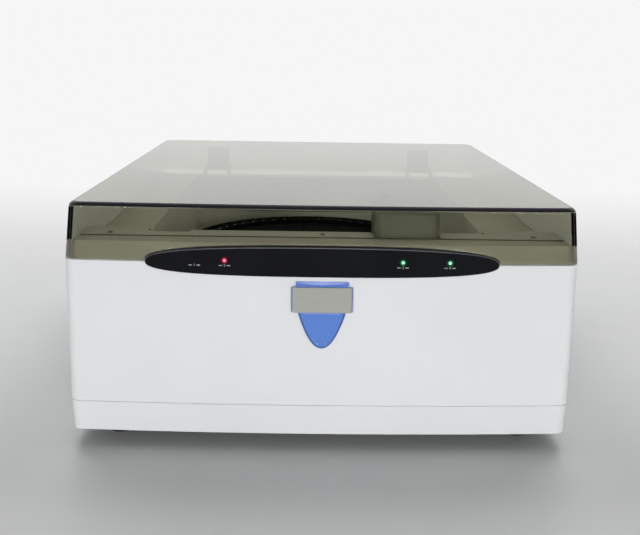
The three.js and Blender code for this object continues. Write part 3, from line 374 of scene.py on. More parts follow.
def lamp_lens(name, place, core, edge):
    """A lit lens, nearly white at its middle."""
    made, tree, shader = new_material(name, Roughness=0.2, Base_Color=linear(edge), Emission_Strength=1.0)
    factor = ramp(flat_distance(tree, place), start=0.5 * MM, end=1.5 * MM)
    feed(shader, {"Emission Color": blend(factor, core, edge)})
    return made


def lamp_glow(name, place, color, reach):
    """Light from a lens on the black panel round it."""
    made, tree, shader = new_material(
        name, Roughness=0.3, Base_Color=linear(0x0A0B0C), Emission_Strength=0.6
    )
    near = ramp(flat_distance(tree, place), 1.0, 0.0, 1.4 * MM, reach)
    glow = blend(calculate("POWER", near, 2.2), 0x000000, color)
    feed(shader, {"Emission Color": glow})
    return made


def motor_finish():
    """Black laminations of 1 mm, stacked by height."""
    made, tree, shader = new_material("motor_finish", Metallic=0.6)
    wave = calculate("SINE", calculate("MULTIPLY", along(tree, "Z"), TURN / MM))
    color = blend(ramp(wave, start=-1, end=1), 0x101012, 0x1F2022)
    feed(shader, {"Base Color": color, "Roughness": ramp(noise(tree, 2 * MM), 0.35, 0.5)})
    add_bump(shader, wave, 0.05 * MM)
    return made


def board_finish():
    """Green laminate with lighter tracks."""
    made, tree, shader = new_material("board_finish", Roughness=0.35, Coat_Weight=0.3)
    inputs = {"Vector": coordinates(tree), "Scale": 60.0, "Mortar Size": 0.06}
    for key, code in (("Color1", 0x14492E), ("Color2", 0x1A5636), ("Mortar", 0x2F7A50)):
        inputs[key] = linear(code)
    brick = add_node(tree, "TexBrick", inputs)
    speck = ramp(noise(tree, 1.5 * MM), 0.0, 0.35)
    feed(shader, {"Base Color": blend(speck, brick, 0x0F3C25)})
    return made


# Size and depth of a grain
STEEL = (0.25 * MM, 0.004 * MM)
MOULD = (0.45 * MM, 0.012 * MM)


def tall_finish(name, level, colors, upper):
    """Moulded plastic of one colour below a level and another above it; here the two colours paint light and
    shade onto a single moulding.
    """
    made, tree, shader = new_material(name)
    above = ramp(along(tree, "Z"), start=level - 0.2 * MM, end=level + 0.2 * MM)
    below = blend(ramp(noise(tree, 0.1, 3.0)), *colors)
    rough = ramp(noise(tree, 0.03), 0.38, 0.46)
    feed(shader, {"Base Color": blend(above, below, upper), "Roughness": rough})
    add_bump(shader, noise(tree, MOULD[0]), MOULD[1])
    return made


finishes = {
    "housing_white": surface("housing_plastic", (0xE1E3E5, 0xE5E7E9), (0.36, 0.44), 0.12, MOULD),
    "deck_grey": surface("deck_plastic", (0xCBCDC8, 0xD0D2CD), (0.42, 0.5), 0.1, MOULD),
    "smoked_lid": smoked_acrylic(),
    "panel_black": surface("panel_gloss", (0x16171A, 0x1A1B1E), (0.3, 0.36), Specular_IOR_Level=0.12),
    "badge_blue": surface("badge_plastic", (0x5B80CD, 0x6187D4), (0.2, 0.26), 0.02),
    "badge_silver": surface(
        "badge_satin", (0xBCBCB5, 0xC3C3BC), (0.36, 0.44), 0.02, STEEL, (1, 1, 12), Metallic=0.3
    ),
    "carousel_black": surface(
        "carousel_plastic", (0x08080A, 0x0B0B0D), (0.5, 0.58), 0.04, MOULD, Specular_IOR_Level=0.03
    ),
    "tower_olive": surface("tower_plastic", (0x73756C, 0x797B72), (0.34, 0.4), 0.06, MOULD),
    "lift_black": surface("acetal", (0x17181A, 0x1C1D1F), (0.35, 0.45), 0.02, MOULD),
    "tip_amber": surface("amber_polymer", (0xA9802F, 0xB98F3A), (0.2, 0.28), 0.01, Subsurface_Weight=0.1),
    "steel": surface(
        "ground_steel", (0x97999C, 0xA6A8AB), (0.22, 0.34), 0.01, STEEL, (1, 1, 14), Metallic=1.0
    ),
    "galvanised_sheet": surface(
        "plated_sheet", (0x8E9194, 0xA4A7AA), (0.32, 0.46), 0.012, STEEL, Metallic=0.9
    ),
    "machined_aluminium": surface(
        "turned_aluminium", (0xA9ABAE, 0xB6B8BB), (0.26, 0.36), 0.008, STEEL, (1, 1, 30), Metallic=1.0
    ),
    "motor_black": motor_finish(),
    "rubber_foot": surface("foot_rubber", (0x161616, 0x1E1E1E), (0.75, 0.88), 0.01, (0.4 * MM, 0.03 * MM)),
    "rubber_belt": surface("belt_rubber", (0x1B1B1B, 0x232323), (0.6, 0.75), 0.006, (0.3 * MM, 0.02 * MM)),
    "board_green": board_finish(),
    "rocker_black": surface("rocker_plastic", (0x121214, 0x17181A), (0.3, 0.4), 0.01, MOULD),
}
# Painted shade: a darker copy of the badge blue for the tongue's rim.
badge_rim_shade = surface("badge_rim_shade", (0x36549A, 0x3B5AA2), (0.3, 0.36), 0.02)
# Painted highlights: paler copies of the badge blue, for the carrier's sides beside the plate, the cap's
# crest and the line under the plate.
badge_side_highlight = surface("badge_side_highlight", (0x8792CE, 0x8E99D4), (0.25, 0.3), 0.01)
badge_pale_highlight = surface("badge_pale_highlight", (0x98A9EA, 0xA2B2F0), (0.25, 0.3), 0.01)
# Painted shade: the deck is a darker copy of the deck plastic, darker than the well's walls.
deck_painted_shade = surface("deck_shade_shell", (0xBAB7AF, 0xC0BDB5), (0.42, 0.5), 0.1, MOULD)
ledge_finish = surface("ledge_shell", (0xB1B3AB, 0xB7B9B1), (0.42, 0.5), 0.1, MOULD)
hinge_sheet = surface("hinge_sheet", (0xD8D9D1, 0xDDDED7), (0.4, 0.5), 0.02, MOULD)
# Painted shade: the dark strip along the ledge's front.
ledge_shade_grey = surface("ledge_shade_strip", (0x505147, 0x58594F), (0.6, 0.7), 0.01)
# Painted highlight: the grey of the lens bevel's crest, where it catches the light.
bevel_highlight_grey = surface("bevel_highlight_grey", (0x717277, 0x77787D), (0.4, 0.5), 0.01)
# Painted shade: these two dark finishes stand in for the darkness of the lid's sheet seen along its
# thickness, on its top edge and front corners.
lid_edge_painted_dark = surface("lid_edge", (0x15131A, 0x1A1820), (0.08, 0.14), 0.02, Specular_IOR_Level=0.25)
lid_corner_painted_dark = surface("lid_corner", (0x0E1116, 0x12161C), (0.3, 0.4), 0.02, Specular_IOR_Level=0.0)
print_white = surface("white_print", (0xD2D4D6, 0xDCDEE0), (0.45, 0.55), 0.004)
tick_grey = surface("pale_print", (0xA2A49C, 0xB4B6AE), (0.45, 0.55), 0.004)
# Painted shade: the front panel's strip above the seam, under the lid, is a darker copy of the housing white.
front_shell_shaded_strip = tall_finish("front_shell_shaded_strip", 169.3 * MM, (0xE1E3E5, 0xE5E7E9), 0xAFAEA5)
# Painted light: the well's walls are a lighter copy of the deck plastic, as if lit from the side; its rim
# above takes the deck's painted shade.
well_painted_light = tall_finish("well_painted_light", 184.4 * MM, (0xECEDE8, 0xF0F1EC), 0xBAB7AF)

# Sizes that the frame gives
lid_low, lid_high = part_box("lid")
half_width, rear_y = lid_high.x, lid_high.y
ledge_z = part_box("front_ledge")[1].z
FRONT_BOW = 6 * MM
front_y = lid_low.y + FRONT_BOW
CORNER_RADIUS = 9 * MM


def bow(x):
    """How far the front stands before its corners at x."""
    return FRONT_BOW * (1 - (x / half_width) ** 2)


def face_y(x, out=0.0):
    """Y of the bowed front at x, or of what stands out from it."""
    return front_y - bow(x) - out


def bowed(inset_side, inset, radius, corner_steps=10, bow_steps=48):
    """The housing's outline in plan, drawn in by inset, with a bowed front."""
    side = half_width - inset_side - radius
    front, rear = front_y + inset, rear_y - inset - radius
    fronts = arc(-side, front + radius, radius, 2, corner_steps)
    fronts += [(side * (2 * i / bow_steps - 1), front) for i in range(1, bow_steps)]
    fronts += arc(side, front + radius, radius, 3, corner_steps)
    back = arc(side, rear, radius, 0, corner_steps) + arc(-side, rear, radius, 1, corner_steps)
    return [(x, y - bow(x)) for x, y in fronts] + back


def make_groove():
    """A white band behind the gap between the housing and its skirt."""
    low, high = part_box("base_skirt")[1].z - 0.3 * MM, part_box("front_panel")[0].z + 0.3 * MM
    near, far = 1.3 * MM, 1.9 * MM
    section = ((near, low), (near, high), (far, high), (far, low), (near, low))
    rings = [placed(bowed(i, i, CORNER_RADIUS - i), z) for i, z in section]
    attach(soften(loft("groove_band", rings, caps=False)), "base_skirt", "housing_white")


def make_ledge_seal():
    """A dark strip in the joint along the ledge's front: painted shade for the shadow line under the ledge's
    front edge.
    """
    low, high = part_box("front_ledge")
    x0, x1 = low.x + 2 * MM, high.x - 2 * MM
    (y0, y1), (z0, z1) = span(low.y, -0.5, -0.1), span(high.z, -2, 0.9)
    section = ((y0, z0), (y1, z0), (y1, z1 - 0.1 * MM), (y1 - 0.1 * MM, z1), (y0, z1))
    rings = [placed(section, x0 + (x1 - x0) * i / 40, "x") for i in range(41)]
    attach(soften(loft("ledge_shade_line", rings), 42), "front_ledge", "lift_black", ledge_shade_grey)


# Status panel
LENS_LENGTH = 300 * MM
LENS_HEIGHT = 26.2 * MM
LENS_POWER = 2.75
LENS_TIP_DROP = 1 * MM
LENS_STAND_OUT = 3 * MM
LENS_BEVEL = 1.7 * MM
LENS_GAP = 1 * MM
LENS_POINTS = 176
HOLE_RADIUS = 1.7 * MM
GLOW_REACH = 3.6 * MM
PRINT_THICKNESS = 0.04 * MM
lens_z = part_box("status_panel")[1].z - LENS_HEIGHT / 2
# Colour, middle and edge of each lamp; the first is off
LAMPS = {
    1: ("unlit", 0x15191A, 0x101314),
    2: ("red", 0xFFB4C8, 0xFF2A50),
    3: ("green", 0xF2FFF4, 0x1CC070),
    4: ("green", 0xF2FFF4, 0x1CC070),
}


def lens_outline(grow):
    def bend(value):
        return copysign(abs(value) ** (2 / LENS_POWER), value)

    outline = []
    for i in range(LENS_POINTS):
        turn = TURN * i / LENS_POINTS
        x = (LENS_LENGTH / 2 + grow) * bend(cos(turn))
        drop = LENS_TIP_DROP * (2 * x / LENS_LENGTH) ** 2
        outline.append((x, lens_z - drop + (LENS_HEIGHT / 2 + grow) * bend(sin(turn))))
    return outline


def make_status_panel():
    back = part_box("status_panel")[1].y + bow(LENS_LENGTH / 2)
    rings = [[(x, back - bow(x), z) for x, z in lens_outline(0)]]
    steps = [(LENS_BEVEL * (1 - cos(t)), LENS_BEVEL * (1 - sin(t))) for t in quarter_turns(6)]
    for inset, short in steps + [(LENS_BEVEL + 0.4 * MM, 0)]:
        rings.append([(x, face_y(x, LENS_STAND_OUT - short), z) for x, z in lens_outline(-inset)])
    points, faces = skin(rings)
    half = LENS_POINTS // 2
    for start in (0, len(points) - LENS_POINTS):
        end = start + LENS_POINTS
        faces += [(start + i, start + i + 1, end - i - 1, end - i) for i in range(1, half - 1)]
        faces += [(start, start + 1, end - 1), (start + half - 1, start + half, start + half + 1)]
    panel = mesh_object("status_lens", points, faces)
    holes = []
    for number in LAMPS:
        x, y, z = middle(f"indicator_lens_{number}")
        profile = [(0, y - 0.03), (HOLE_RADIUS, y - 0.03), (HOLE_RADIUS, y + 0.03), (0, y + 0.03)]
        holes.append(lathe("hole", profile, (x, z), 32, "y"))
    dress(soften(carve(panel, *holes), 50), "status_panel")


def upper_band(name, finish, grow_out, grow_in, low, high):
    """A strip along the lens's upper edge, between two outlines and two heights over the bow."""
    rings = []
    for outer, inner in list(zip(lens_outline(grow_out), lens_outline(grow_in)))[2 : LENS_POINTS // 2 - 1]:
        corners = []
        for (x, z), out in ((outer, high), (inner, low), (inner, low - 0.3 * MM), (outer, high - 0.3 * MM)):
            corners.append((x, face_y(x, out), z))
        rings.append(corners)
    attach(soften(loft(name, rings), 50), "status_panel", "panel_black", finish)


def follow_bow(piece, x):
    """Bends a flat detail made at x onto the bowed face."""
    for vertex in piece.data.vertices:
        vertex.co.y += bow(x) - bow(vertex.co.x)
    return piece


def make_indicators():
    for number, (color, core, edge) in LAMPS.items():
        node = f"indicator_lens_{number}"
        low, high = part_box(node)
        place = (low + high) / 2
        radius = (high.x - low.x) / 2
        rim = low.y + 0.9 * MM
        dome = [(0, high.y), (radius, high.y), (radius, rim)]
        dome += [(radius * cos(t), rim - (rim - low.y) * sin(t)) for t in quarter_turns(8)[1:]]
        lens = soften(lathe(f"{color}_lens_{number}", dome, (place.x, place.z), 32, "y"), 60)
        if color == "unlit":
            dress(lens, node, surface("unlit_lens", (edge, core), (0.4, 0.5), 2 * MM, Specular_IOR_Level=0.2))
            continue
        dress(lens, node, lamp_lens(f"lamp_{number}", place, core, edge))
        back = face_y(place.x, LENS_STAND_OUT)
        face = back - 0.05 * MM
        disc = [(radius, back), (radius, face), (GLOW_REACH, face), (GLOW_REACH, back), (radius, back)]
        glow = follow_bow(lathe(f"lamp_glow_{number}", disc, (place.x, place.z), 40, "y"), place.x)
        attach(glow, node, slot_of[node], lamp_glow(f"glow_{number}", place, edge, GLOW_REACH))


def lettering(text, size):
    """A plain numeral as a thin solid, centred on its origin and lying in X and Y."""
    curve = bpy.data.curves.new("numeral", "FONT")
    curve.body, curve.size, curve.extrude = text, size, PRINT_THICKNESS
    curve.align_x = curve.align_y = "CENTER"
    curve.resolution_u = 3
    letters = add_object("numeral", curve)
    mesh = shown_mesh(letters)
    bpy.data.objects.remove(letters)
    return add_object("numeral", mesh)


def make_panel_marks():
    """Under each indicator a numeral between two short dashes."""
    marks = []
    for number in LAMPS:
        place = middle(f"indicator_lens_{number}")
        face, z = face_y(place.x, LENS_STAND_OUT), place.z - 4.4 * MM
        numeral = lettering(str(number), 3.3 * MM)
        numeral.data.transform(posed((place.x, face - 0.03 * MM, z), ("X", 90)))
        drawn = [numeral]
        for start, end in ((-4.8, -2), (2, 4.8)):
            x = span(place.x, start, end)
            drawn.append(block("dash", x, span(face, -0.06, 0), span(z, -0.35, 0.35)))
        marks += [follow_bow(mark, place.x) for mark in drawn]
    attach(gathered("panel_marks", marks), "status_panel", "housing_white", tick_grey)


# Badge
BADGE_EDGE = 1.2 * MM
CAP_WIDTH = 44.7 * MM
TONGUE_WIDTH = 40.5 * MM
TONGUE_POWER = 0.48
TONGUE_STEPS = 44
BADGE_SMOOTH = 38


def inset_outline(outline, inset):
    """A closed outline drawn in along its own normals; it runs anticlockwise."""
    moved = []
    count = len(outline)
    for i, point in enumerate(outline):
        before, here, after = Vector(outline[i - 1]), Vector(point), Vector(outline[(i + 1) % count])
        into, out = (here - before).normalized(), (after - here).normalized()
        normal = Vector((-into.y - out.y, into.x + out.x)).normalized()
        share = max(normal.dot(Vector((-into.y, into.x))), 0.4)
        moved.append(tuple(here + normal * inset / share))
    return moved


def stepped(name, outline, steps):
    """An outline in X and Z, drawn in by each step's inset at that step's Y."""
    return loft(name, [placed(inset_outline(outline, inset), y, "y") for inset, y in steps])


def make_badge():
    """A tongue with a lower rim in painted shade, a cap over the plate with a painted highlight along its
    crest, and the plate between them.
    """
    low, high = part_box("badge_carrier")
    plate_low, plate_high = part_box("badge_plate")
    tip, front, back = low.z, low.y, high.y
    length = plate_low.z - BADGE_EDGE - tip
    shares = [(i / TONGUE_STEPS) ** 2 for i in range(1, TONGUE_STEPS + 1)]
    right = [(TONGUE_WIDTH / 2 * s**TONGUE_POWER, tip + s * length) for s in shares]
    right.append((TONGUE_WIDTH / 2, plate_low.z + 7 * MM))
    tongue = [(0, tip)] + right + [(-x, z) for x, z in reversed(right)]
    rim = front + 0.9 * MM
    steps = [(0, back)] + in_mm(((0, 0.25), (0.25, 0.05), (1.5, 0)), rim)
    # The rim takes the darker blue: painted shade along the tongue's sides.
    dress(soften(stepped("badge_back", tongue, steps), BADGE_SMOOTH), "badge_carrier", badge_rim_shade)
    steps = [(1.2 * MM, rim + 0.3 * MM)] + in_mm(((1.25, 0.5), (1.55, 0.22), (2.3, 0.08), (3.8, 0)), front)
    blue = [stepped("badge_face", tongue, steps)]
    # Beside the plate the carrier shows in a paler blue: a painted highlight on its side edges.
    sides = rounded((low.x, high.x), (plate_low.z, plate_high.z), 0.8 * MM, 4)
    behind = stepped("behind_plate", sides, [(0, back), (0, front + 0.5 * MM), (0.5 * MM, front)])
    # The cap's upper part, its crest, is paler blue: a painted highlight along its top.
    cap, crest = [], []
    for i in range(25):
        share = i / 12 - 1
        scoop = 0.7 * MM + 1.9 * MM * (1 - share**2)
        brow = high.z - scoop
        lower = [(back, plate_high.z), (front, plate_high.z), (front, brow), (back, brow)]
        upper = [(back, brow), (front + 0.02 * MM, brow), (front + 0.5 * MM, high.z - 0.45 * scoop)]
        upper += [(front + 1.5 * MM, high.z), (back, high.z)]
        for rings, section in ((cap, lower), (crest, upper)):
            rings.append(placed(section, CAP_WIDTH / 2 * share, "x"))
    blue.append(loft("badge_cap", cap))
    blue = gathered("badge_blue_faces", blue)
    # A pale line under the plate, a painted highlight, and two small domes near the tip in the same pale
    # blue.
    line = rounded(span(0, -16, 16), span(plate_low.z, -1.7, -1.1), 0.25 * MM, 3)
    lights = [loft("badge_crest_highlight", crest), prism("tongue_highlight_line", line, *span(front, -0.1, 0.5), "y")]
    for x in (-3.4 * MM, 3.4 * MM):
        pip = in_mm(((0, -0.2), (0.5, -0.12), (0.8, 0.3)), front)
        lights.append(lathe("tongue_pip", pip, (x, tip + 4.6 * MM), 20, "y"))
    lights = gathered("badge_painted_highlights", lights)
    for piece, finish in ((behind, badge_side_highlight), (blue, None), (lights, badge_pale_highlight)):
        attach(soften(piece, BADGE_SMOOTH), "badge_carrier", "badge_blue", finish)
    outline = rounded((plate_low.x, plate_high.x), (plate_low.z, plate_high.z), 0.5 * MM, 4)
    plate = prism("plate", outline, plate_low.y, plate_high.y, "y")
    dress(round_edges(plate, 0.35 * MM, 3), "badge_plate")


# Lid
LID_DRAFT = 5 * MM
LID_EDGE = 4.5 * MM
LID_WALL = 3 * MM
LID_HEIGHT = 49 * MM
HINGE_INSET = 9 * MM
BACK_CUT = 15.5 * MM
CORNER_STRIP = 3.6 * MM
CORNER_STEPS = 11
PAST = 0.01  # how far a cutter reaches past what it cuts


def lid_ring(z, inset):
    draft = LID_DRAFT * (z - lid_low.z) / LID_HEIGHT
    return placed(bowed(inset + draft, inset, CORNER_RADIUS - inset / 2, 12, 120), z)


def edge_point(turn, grow):
    """Height and inset on the lid's rounded edge, turned up from its vertical side."""
    shoulder, radius = lid_high.z - LID_EDGE, LID_EDGE + grow
    return shoulder + radius * sin(turn), LID_EDGE - radius * cos(turn)


def make_lid_edges():
    """Dark bands painted where the sheet is seen along its thickness and looks nearly black: its top edge and
    front corners.
    """
    turns = [radians(20 + 6 * i) for i in range(11)]
    path = [edge_point(t, 0.03 * MM) for t in turns] + [edge_point(t, -0.03 * MM) for t in reversed(turns)]
    band = loft("lid_edge_painted_dark_band", [lid_ring(z, inset) for z, inset in path + path[:1]], caps=False)
    attach(soften(band, 50), "lid", "smoked_lid", lid_edge_painted_dark)
    corners, corner_end = [], front_y + CORNER_RADIUS * 1.01
    for way in (-1, 1):
        rings = []
        for i in range(CORNER_STEPS + 1):
            z = ledge_z + (lid_high.z - LID_EDGE - ledge_z) * i / CORNER_STEPS
            skins = []
            for grow in (0.03 * MM, -0.03 * MM):
                ring = lid_ring(z, -grow)
                reach = max(abs(x) for x, _, _ in ring) - CORNER_STRIP
                skins.append([p for p in ring if p[0] * way > reach and p[1] < corner_end])
            rings.append(skins[0] + skins[1][::-1])
        corners.append(loft("lid_corner", rings))
    attach(soften(gathered("lid_corner_painted_dark_bands", corners), 50), "lid", "smoked_lid", lid_corner_painted_dark)


def lid_skin(name, wall):
    """The lid's skin, a wall in from its outside."""
    path = [(lid_low.z - wall, wall), (lid_high.z - LID_EDGE - 1.5 * MM, wall)]
    path += [edge_point(turn, -wall) for turn in quarter_turns(10)]
    path.append((lid_high.z - wall, LID_EDGE + 1.5 * MM))
    return loft(name, [lid_ring(z, inset) for z, inset in path])


def make_lid():
    lens = prism("lens_cut", lens_outline(LENS_GAP), front_y - 0.02, front_y + 0.02, "y")
    height = (lid_low.z - PAST, lid_low.z + BACK_CUT - HINGE_INSET - 1 * MM)
    back = block("back_cut", (-0.3, 0.3), (rear_y - HINGE_INSET, rear_y + PAST), height)
    lid = carve(lid_skin("smoked_lid", 0), lid_skin("inside", LID_WALL), lens, back)
    dress(soften(lid, 30), "lid")


# Carousel
CENTRE = tuple(middle("carousel_spindle"))[:2]
tip_place = middle("sampling_tip")
TIP_TURN = atan2(tip_place.y - CENTRE[1], tip_place.x - CENTRE[0])
PITCHES = 52
PER_RACK = PITCHES // 4
PITCH = TURN / PITCHES
BLANKS = (19, 45)
SEAT_CIRCLE = 123 * MM
SEAT_RADIUS = 6.6 * MM
SEAT_DEPTH = 52 * MM
SEAT_CHAMFER = 0.45 * MM
RING_INNER = 112 * MM
RING_OUTER = 132 * MM
RING_CHAMFER = 0.8 * MM
RACK_GAP = 0.15 * MM / RING_INNER
EDGE_STEPS = 7
HUB_BORE = 6.3 * MM


def sector_edge(inner, outer):
    """Points round one pitch of the ring, anticlockwise: the way from its seat, then radius and angle."""
    half = PITCH / 2
    ways = []
    for radius, turn in ((outer, -half), (outer, half), (inner, half), (inner, -half)):
        x, y = polar((-SEAT_CIRCLE, 0), radius, turn)
        ways.append(atan2(y, x) % TURN)
    ways[0] -= TURN
    ways.append(ways[0] + TURN)
    found = []
    for side in range(4):
        for k in range(EDGE_STEPS):
            way = ways[side] + (ways[side + 1] - ways[side]) * k / EDGE_STEPS
            if side in (0, 2):
                radius, sign = ((outer, 1), (inner, -1))[side // 2]
                root = sqrt(max(radius**2 - (SEAT_CIRCLE * sin(way)) ** 2, 0))
                reach = sign * root - SEAT_CIRCLE * cos(way)
            else:
                line = half if side == 1 else -half
                reach = SEAT_CIRCLE * sin(line) / sin(way - line)
            x, y = polar((SEAT_CIRCLE, 0), reach, way)
            found.append((way, hypot(x, y), atan2(y, x)))
    return found


def make_racks():
    """Four racks; round each seat of a rack run loops of points that go down into it."""
    low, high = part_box("vial_rack_a")
    top, bottom = high.z, low.z
    edge = sector_edge(RING_INNER + RING_CHAMFER, RING_OUTER - RING_CHAMFER)
    side_points = [[i % len(edge) for i in range(s * EDGE_STEPS, (s + 1) * EDGE_STEPS + 1)] for s in range(4)]
    depths = ((SEAT_CHAMFER, 0), (0, SEAT_CHAMFER), (0, SEAT_DEPTH - 1 * MM), (-1 * MM, SEAT_DEPTH))
    for rack, letter in enumerate("abcd"):
        first = rack * PER_RACK - PER_RACK // 2
        last = first + PER_RACK - 1
        points, faces = [], []

        def add_point(radius, turn, z):
            turn += RACK_GAP * (abs(turn - (first - 0.5) * PITCH) < 1e-6)
            turn -= RACK_GAP * (abs(turn - (last + 0.5) * PITCH) < 1e-6)
            points.append((*polar(CENTRE, radius, TIP_TURN + turn), z))
            return len(points) - 1

        def join(near, far):
            for i in range(len(near) - 1):
                faces.append((near[i], near[i + 1], far[i + 1], far[i]))

        for k in range(first, last + 1):
            around = [add_point(radius, k * PITCH + turn, top) for _, radius, turn in edge]
            near = around
            for grow, drop in () if k % PITCHES in BLANKS else depths:
                far = []
                for way, _, _ in edge:
                    u, v = polar((SEAT_CIRCLE, 0), SEAT_RADIUS + grow, way)
                    far.append(add_point(hypot(u, v), k * PITCH + atan2(v, u), top - drop))
                join(near + near[:1], far + far[:1])
                near = far
            faces.append(tuple(near))
            walls = {}
            for side, limit in ((0, RING_OUTER), (2, RING_INNER)):
                turns = [k * PITCH + edge[i][2] for i in side_points[side]]
                heights = (top - RING_CHAMFER, bottom)
                chamfer, base = [[add_point(limit, turn, z) for turn in turns] for z in heights]
                join(chamfer, [around[i] for i in side_points[side]])
                join(base, chamfer)
                walls[side] = (chamfer, base)
            join(walls[0][1], walls[2][1][::-1])
            for end, side, down, up in ((first, 3, 0, 2), (last, 1, 2, 0)):
                if k == end:
                    rim = [around[i] for i in side_points[side]]
                    rim += [line[0] for line in walls[down]] + [line[-1] for line in walls[up][::-1]]
                    faces.append(tuple(rim))
        piece = mesh_object(f"vial_rack_{letter}_ring", points, faces)
        dress(soften(piece), f"vial_rack_{letter}")


def make_carousel_marks():
    """Seat numbers on the ring's inner band, and a pale index pip outside each seat."""
    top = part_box("vial_rack_a")[1].z
    pip = in_mm(((0, -0.1), (0.75, -0.1), (0.75, 0.25), (0.5, 0.45), (0, 0.55)), top)
    marks, pips = [], []
    for k in range(PITCHES):
        if k in BLANKS:
            continue
        turn = TIP_TURN + k * PITCH
        numeral = lettering(str(len(marks) + 1), 3.1 * MM)
        place = (*polar(CENTRE, 114.45 * MM, turn), top + 0.01 * MM)
        numeral.data.transform(posed(place, ("Z", degrees(turn) - 90)))
        marks.append(numeral)
        pips.append(lathe("pip", pip, polar(CENTRE, 130.4 * MM, turn), 12))
    attach(gathered("seat_numbers", marks), "carousel_plate", "housing_white", print_white)
    attach(soften(gathered("seat_pips", pips), 60), "carousel_plate", "housing_white", tick_grey)


def collar_top():
    """Top of the spindle's collar: its widest points, read from the frame."""
    points = [(dist(v.co[:2], CENTRE), v.co.z) for v in nodes["carousel_spindle"].data.vertices]
    reach = max(points)[0]
    return max(z for away, z in points if away > reach - 0.1 * MM)


def make_carousel():
    low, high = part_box("carousel_plate")
    plate_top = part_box("vial_rack_a")[0].z - 0.3 * MM
    hat = RING_INNER * cos(PITCH / 2) - 0.3 * MM
    wall, under = hat - 2.5 * MM, high.z - 3 * MM
    hub_low = collar_top() + 0.3 * MM
    profile = in_mm(((6.3, 0), (13.2, 0), (14, 0.8)), hub_low) + in_mm(((14, -0.8), (14.8, 0)), under)
    profile += in_mm(((-0.8, 0), (0, -0.8)), under, wall) + [(wall, low.z)]
    profile += in_mm(((-0.8, 0), (0, 0.8)), low.z, RING_OUTER) + [(RING_OUTER, plate_top), (hat, plate_top)]
    profile += in_mm(((0, -0.8), (-0.8, 0)), high.z, hat)
    profile += in_mm(((38, 0), (37.4, -0.5), (36.6, -0.5), (36, 0), (6.3, 0)), high.z) + profile[:1]
    turned("carousel_disc", profile, "carousel_plate", 180, CENTRE)


def make_knob():
    low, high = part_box("carousel_knob")
    outer = (high.x - low.x) / 2
    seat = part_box("carousel_spindle")[1].z + 0.3 * MM

    def fluted(radius, height, turn):
        if radius < outer - 2.2 * MM:
            return radius
        return radius - 0.9 * MM * max(cos(12 * turn), 0) ** 2

    profile = [(HUB_BORE, low.z)] + in_mm(((-1.5, 0), (-0.4, 0.5), (0, 1.5)), low.z, outer)
    profile += in_mm(((0, -1.8), (-0.5, -0.6), (-1.8, 0), (-4, 0), (-4.5, -0.4)), high.z, outer)
    profile += [(0, high.z - 0.4 * MM), (0, seat), (HUB_BORE, seat), (HUB_BORE, low.z)]
    turned("knob", profile, "carousel_knob", 144, CENTRE, radius_at=fluted)


def make_spindle():
    low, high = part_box("carousel_spindle")
    collar, top = (high.x - low.x) / 2, collar_top()
    profile = in_mm(((0, 0), (5.5, 0), (6, 0.5)), low.z) + [(6 * MM, top - 3 * MM)]
    profile += in_mm(((-0.5, -3), (0, -2.5), (0, -0.5), (-0.5, 0)), top, collar) + [(6 * MM, top)]
    profile += in_mm(((6, -0.5), (5.5, 0), (0, 0)), high.z)
    turned("spindle", profile, "carousel_spindle", 48)


# Sampler tower and lift
TOWER_CORNER = 9 * MM
TOWER_EDGE = 3 * MM
TOWER_WALL = 2 * MM


def make_tower():
    low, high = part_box("tower_housing")

    def tower(name, path):
        rings = []
        for z, inset in path:
            x, y = (low.x + inset, high.x - inset), (low.y + inset, high.y - inset)
            rings.append(placed(rounded(x, y, TOWER_CORNER - inset), z))
        return loft(name, rings)

    shoulder = high.z - TOWER_EDGE
    path = [(low.z, 0), (shoulder - 1 * MM, 0)]
    path += [(shoulder + TOWER_EDGE * sin(t), TOWER_EDGE * (1 - cos(t))) for t in quarter_turns(8)]
    path.append((high.z, TOWER_EDGE + 1 * MM))
    inside = tower("tower_inside", [(low.z - PAST, TOWER_WALL), (high.z - TOWER_WALL, TOWER_WALL)])
    z = (low.z - PAST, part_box("lift_carriage")[1].z + 2 * MM)
    slot = block("slot", span(tip_place.x, -9, 9), span(high.y, -5, 5), z)
    dress(soften(carve(tower("tower", path), inside, slot)), "tower_housing")


def make_tip():
    low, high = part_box("sampling_tip")
    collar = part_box("lift_carriage")[1].z + 0.3 * MM
    profile = in_mm(((0.8, 0), (1.2, 0), (1.4, 0.3), (3.7, 11.4), (4, 12.6)), low.z)
    profile += in_mm(((4, 0), (5.7, 0), (6, 0.3), (6, 2.7), (5.7, 3), (4.6, 3)), collar)
    profile += in_mm(((4.6, -0.5), (4.1, 0), (0.8, 0)), high.z) + profile[:1]

    def knurled(radius, height, turn):
        if height < collar + 3.2 * MM or radius < 1.6 * MM:
            return radius
        return radius - 0.25 * MM * max(cos(16 * turn), 0)

    turned("tip", profile, "sampling_tip", 96, radius_at=knurled)


def round_bar(node, kind, way, c, sides):
    """A round bar along an axis, with ends chamfered by c millimetres."""
    low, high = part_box(node)
    axis = "xyz".index(way)
    radius, start, end = (high - low)[2 - axis] / 2, low[axis], high[axis]
    profile = [(0, start)] + in_mm(((-c, 0), (0, c)), start, radius)
    profile += in_mm(((0, -c), (-c, 0)), end, radius) + [(0, end)]
    centre = [value for i, value in enumerate(middle(node)) if i != axis]
    turned(node + kind, profile, node, sides, centre, way=way)


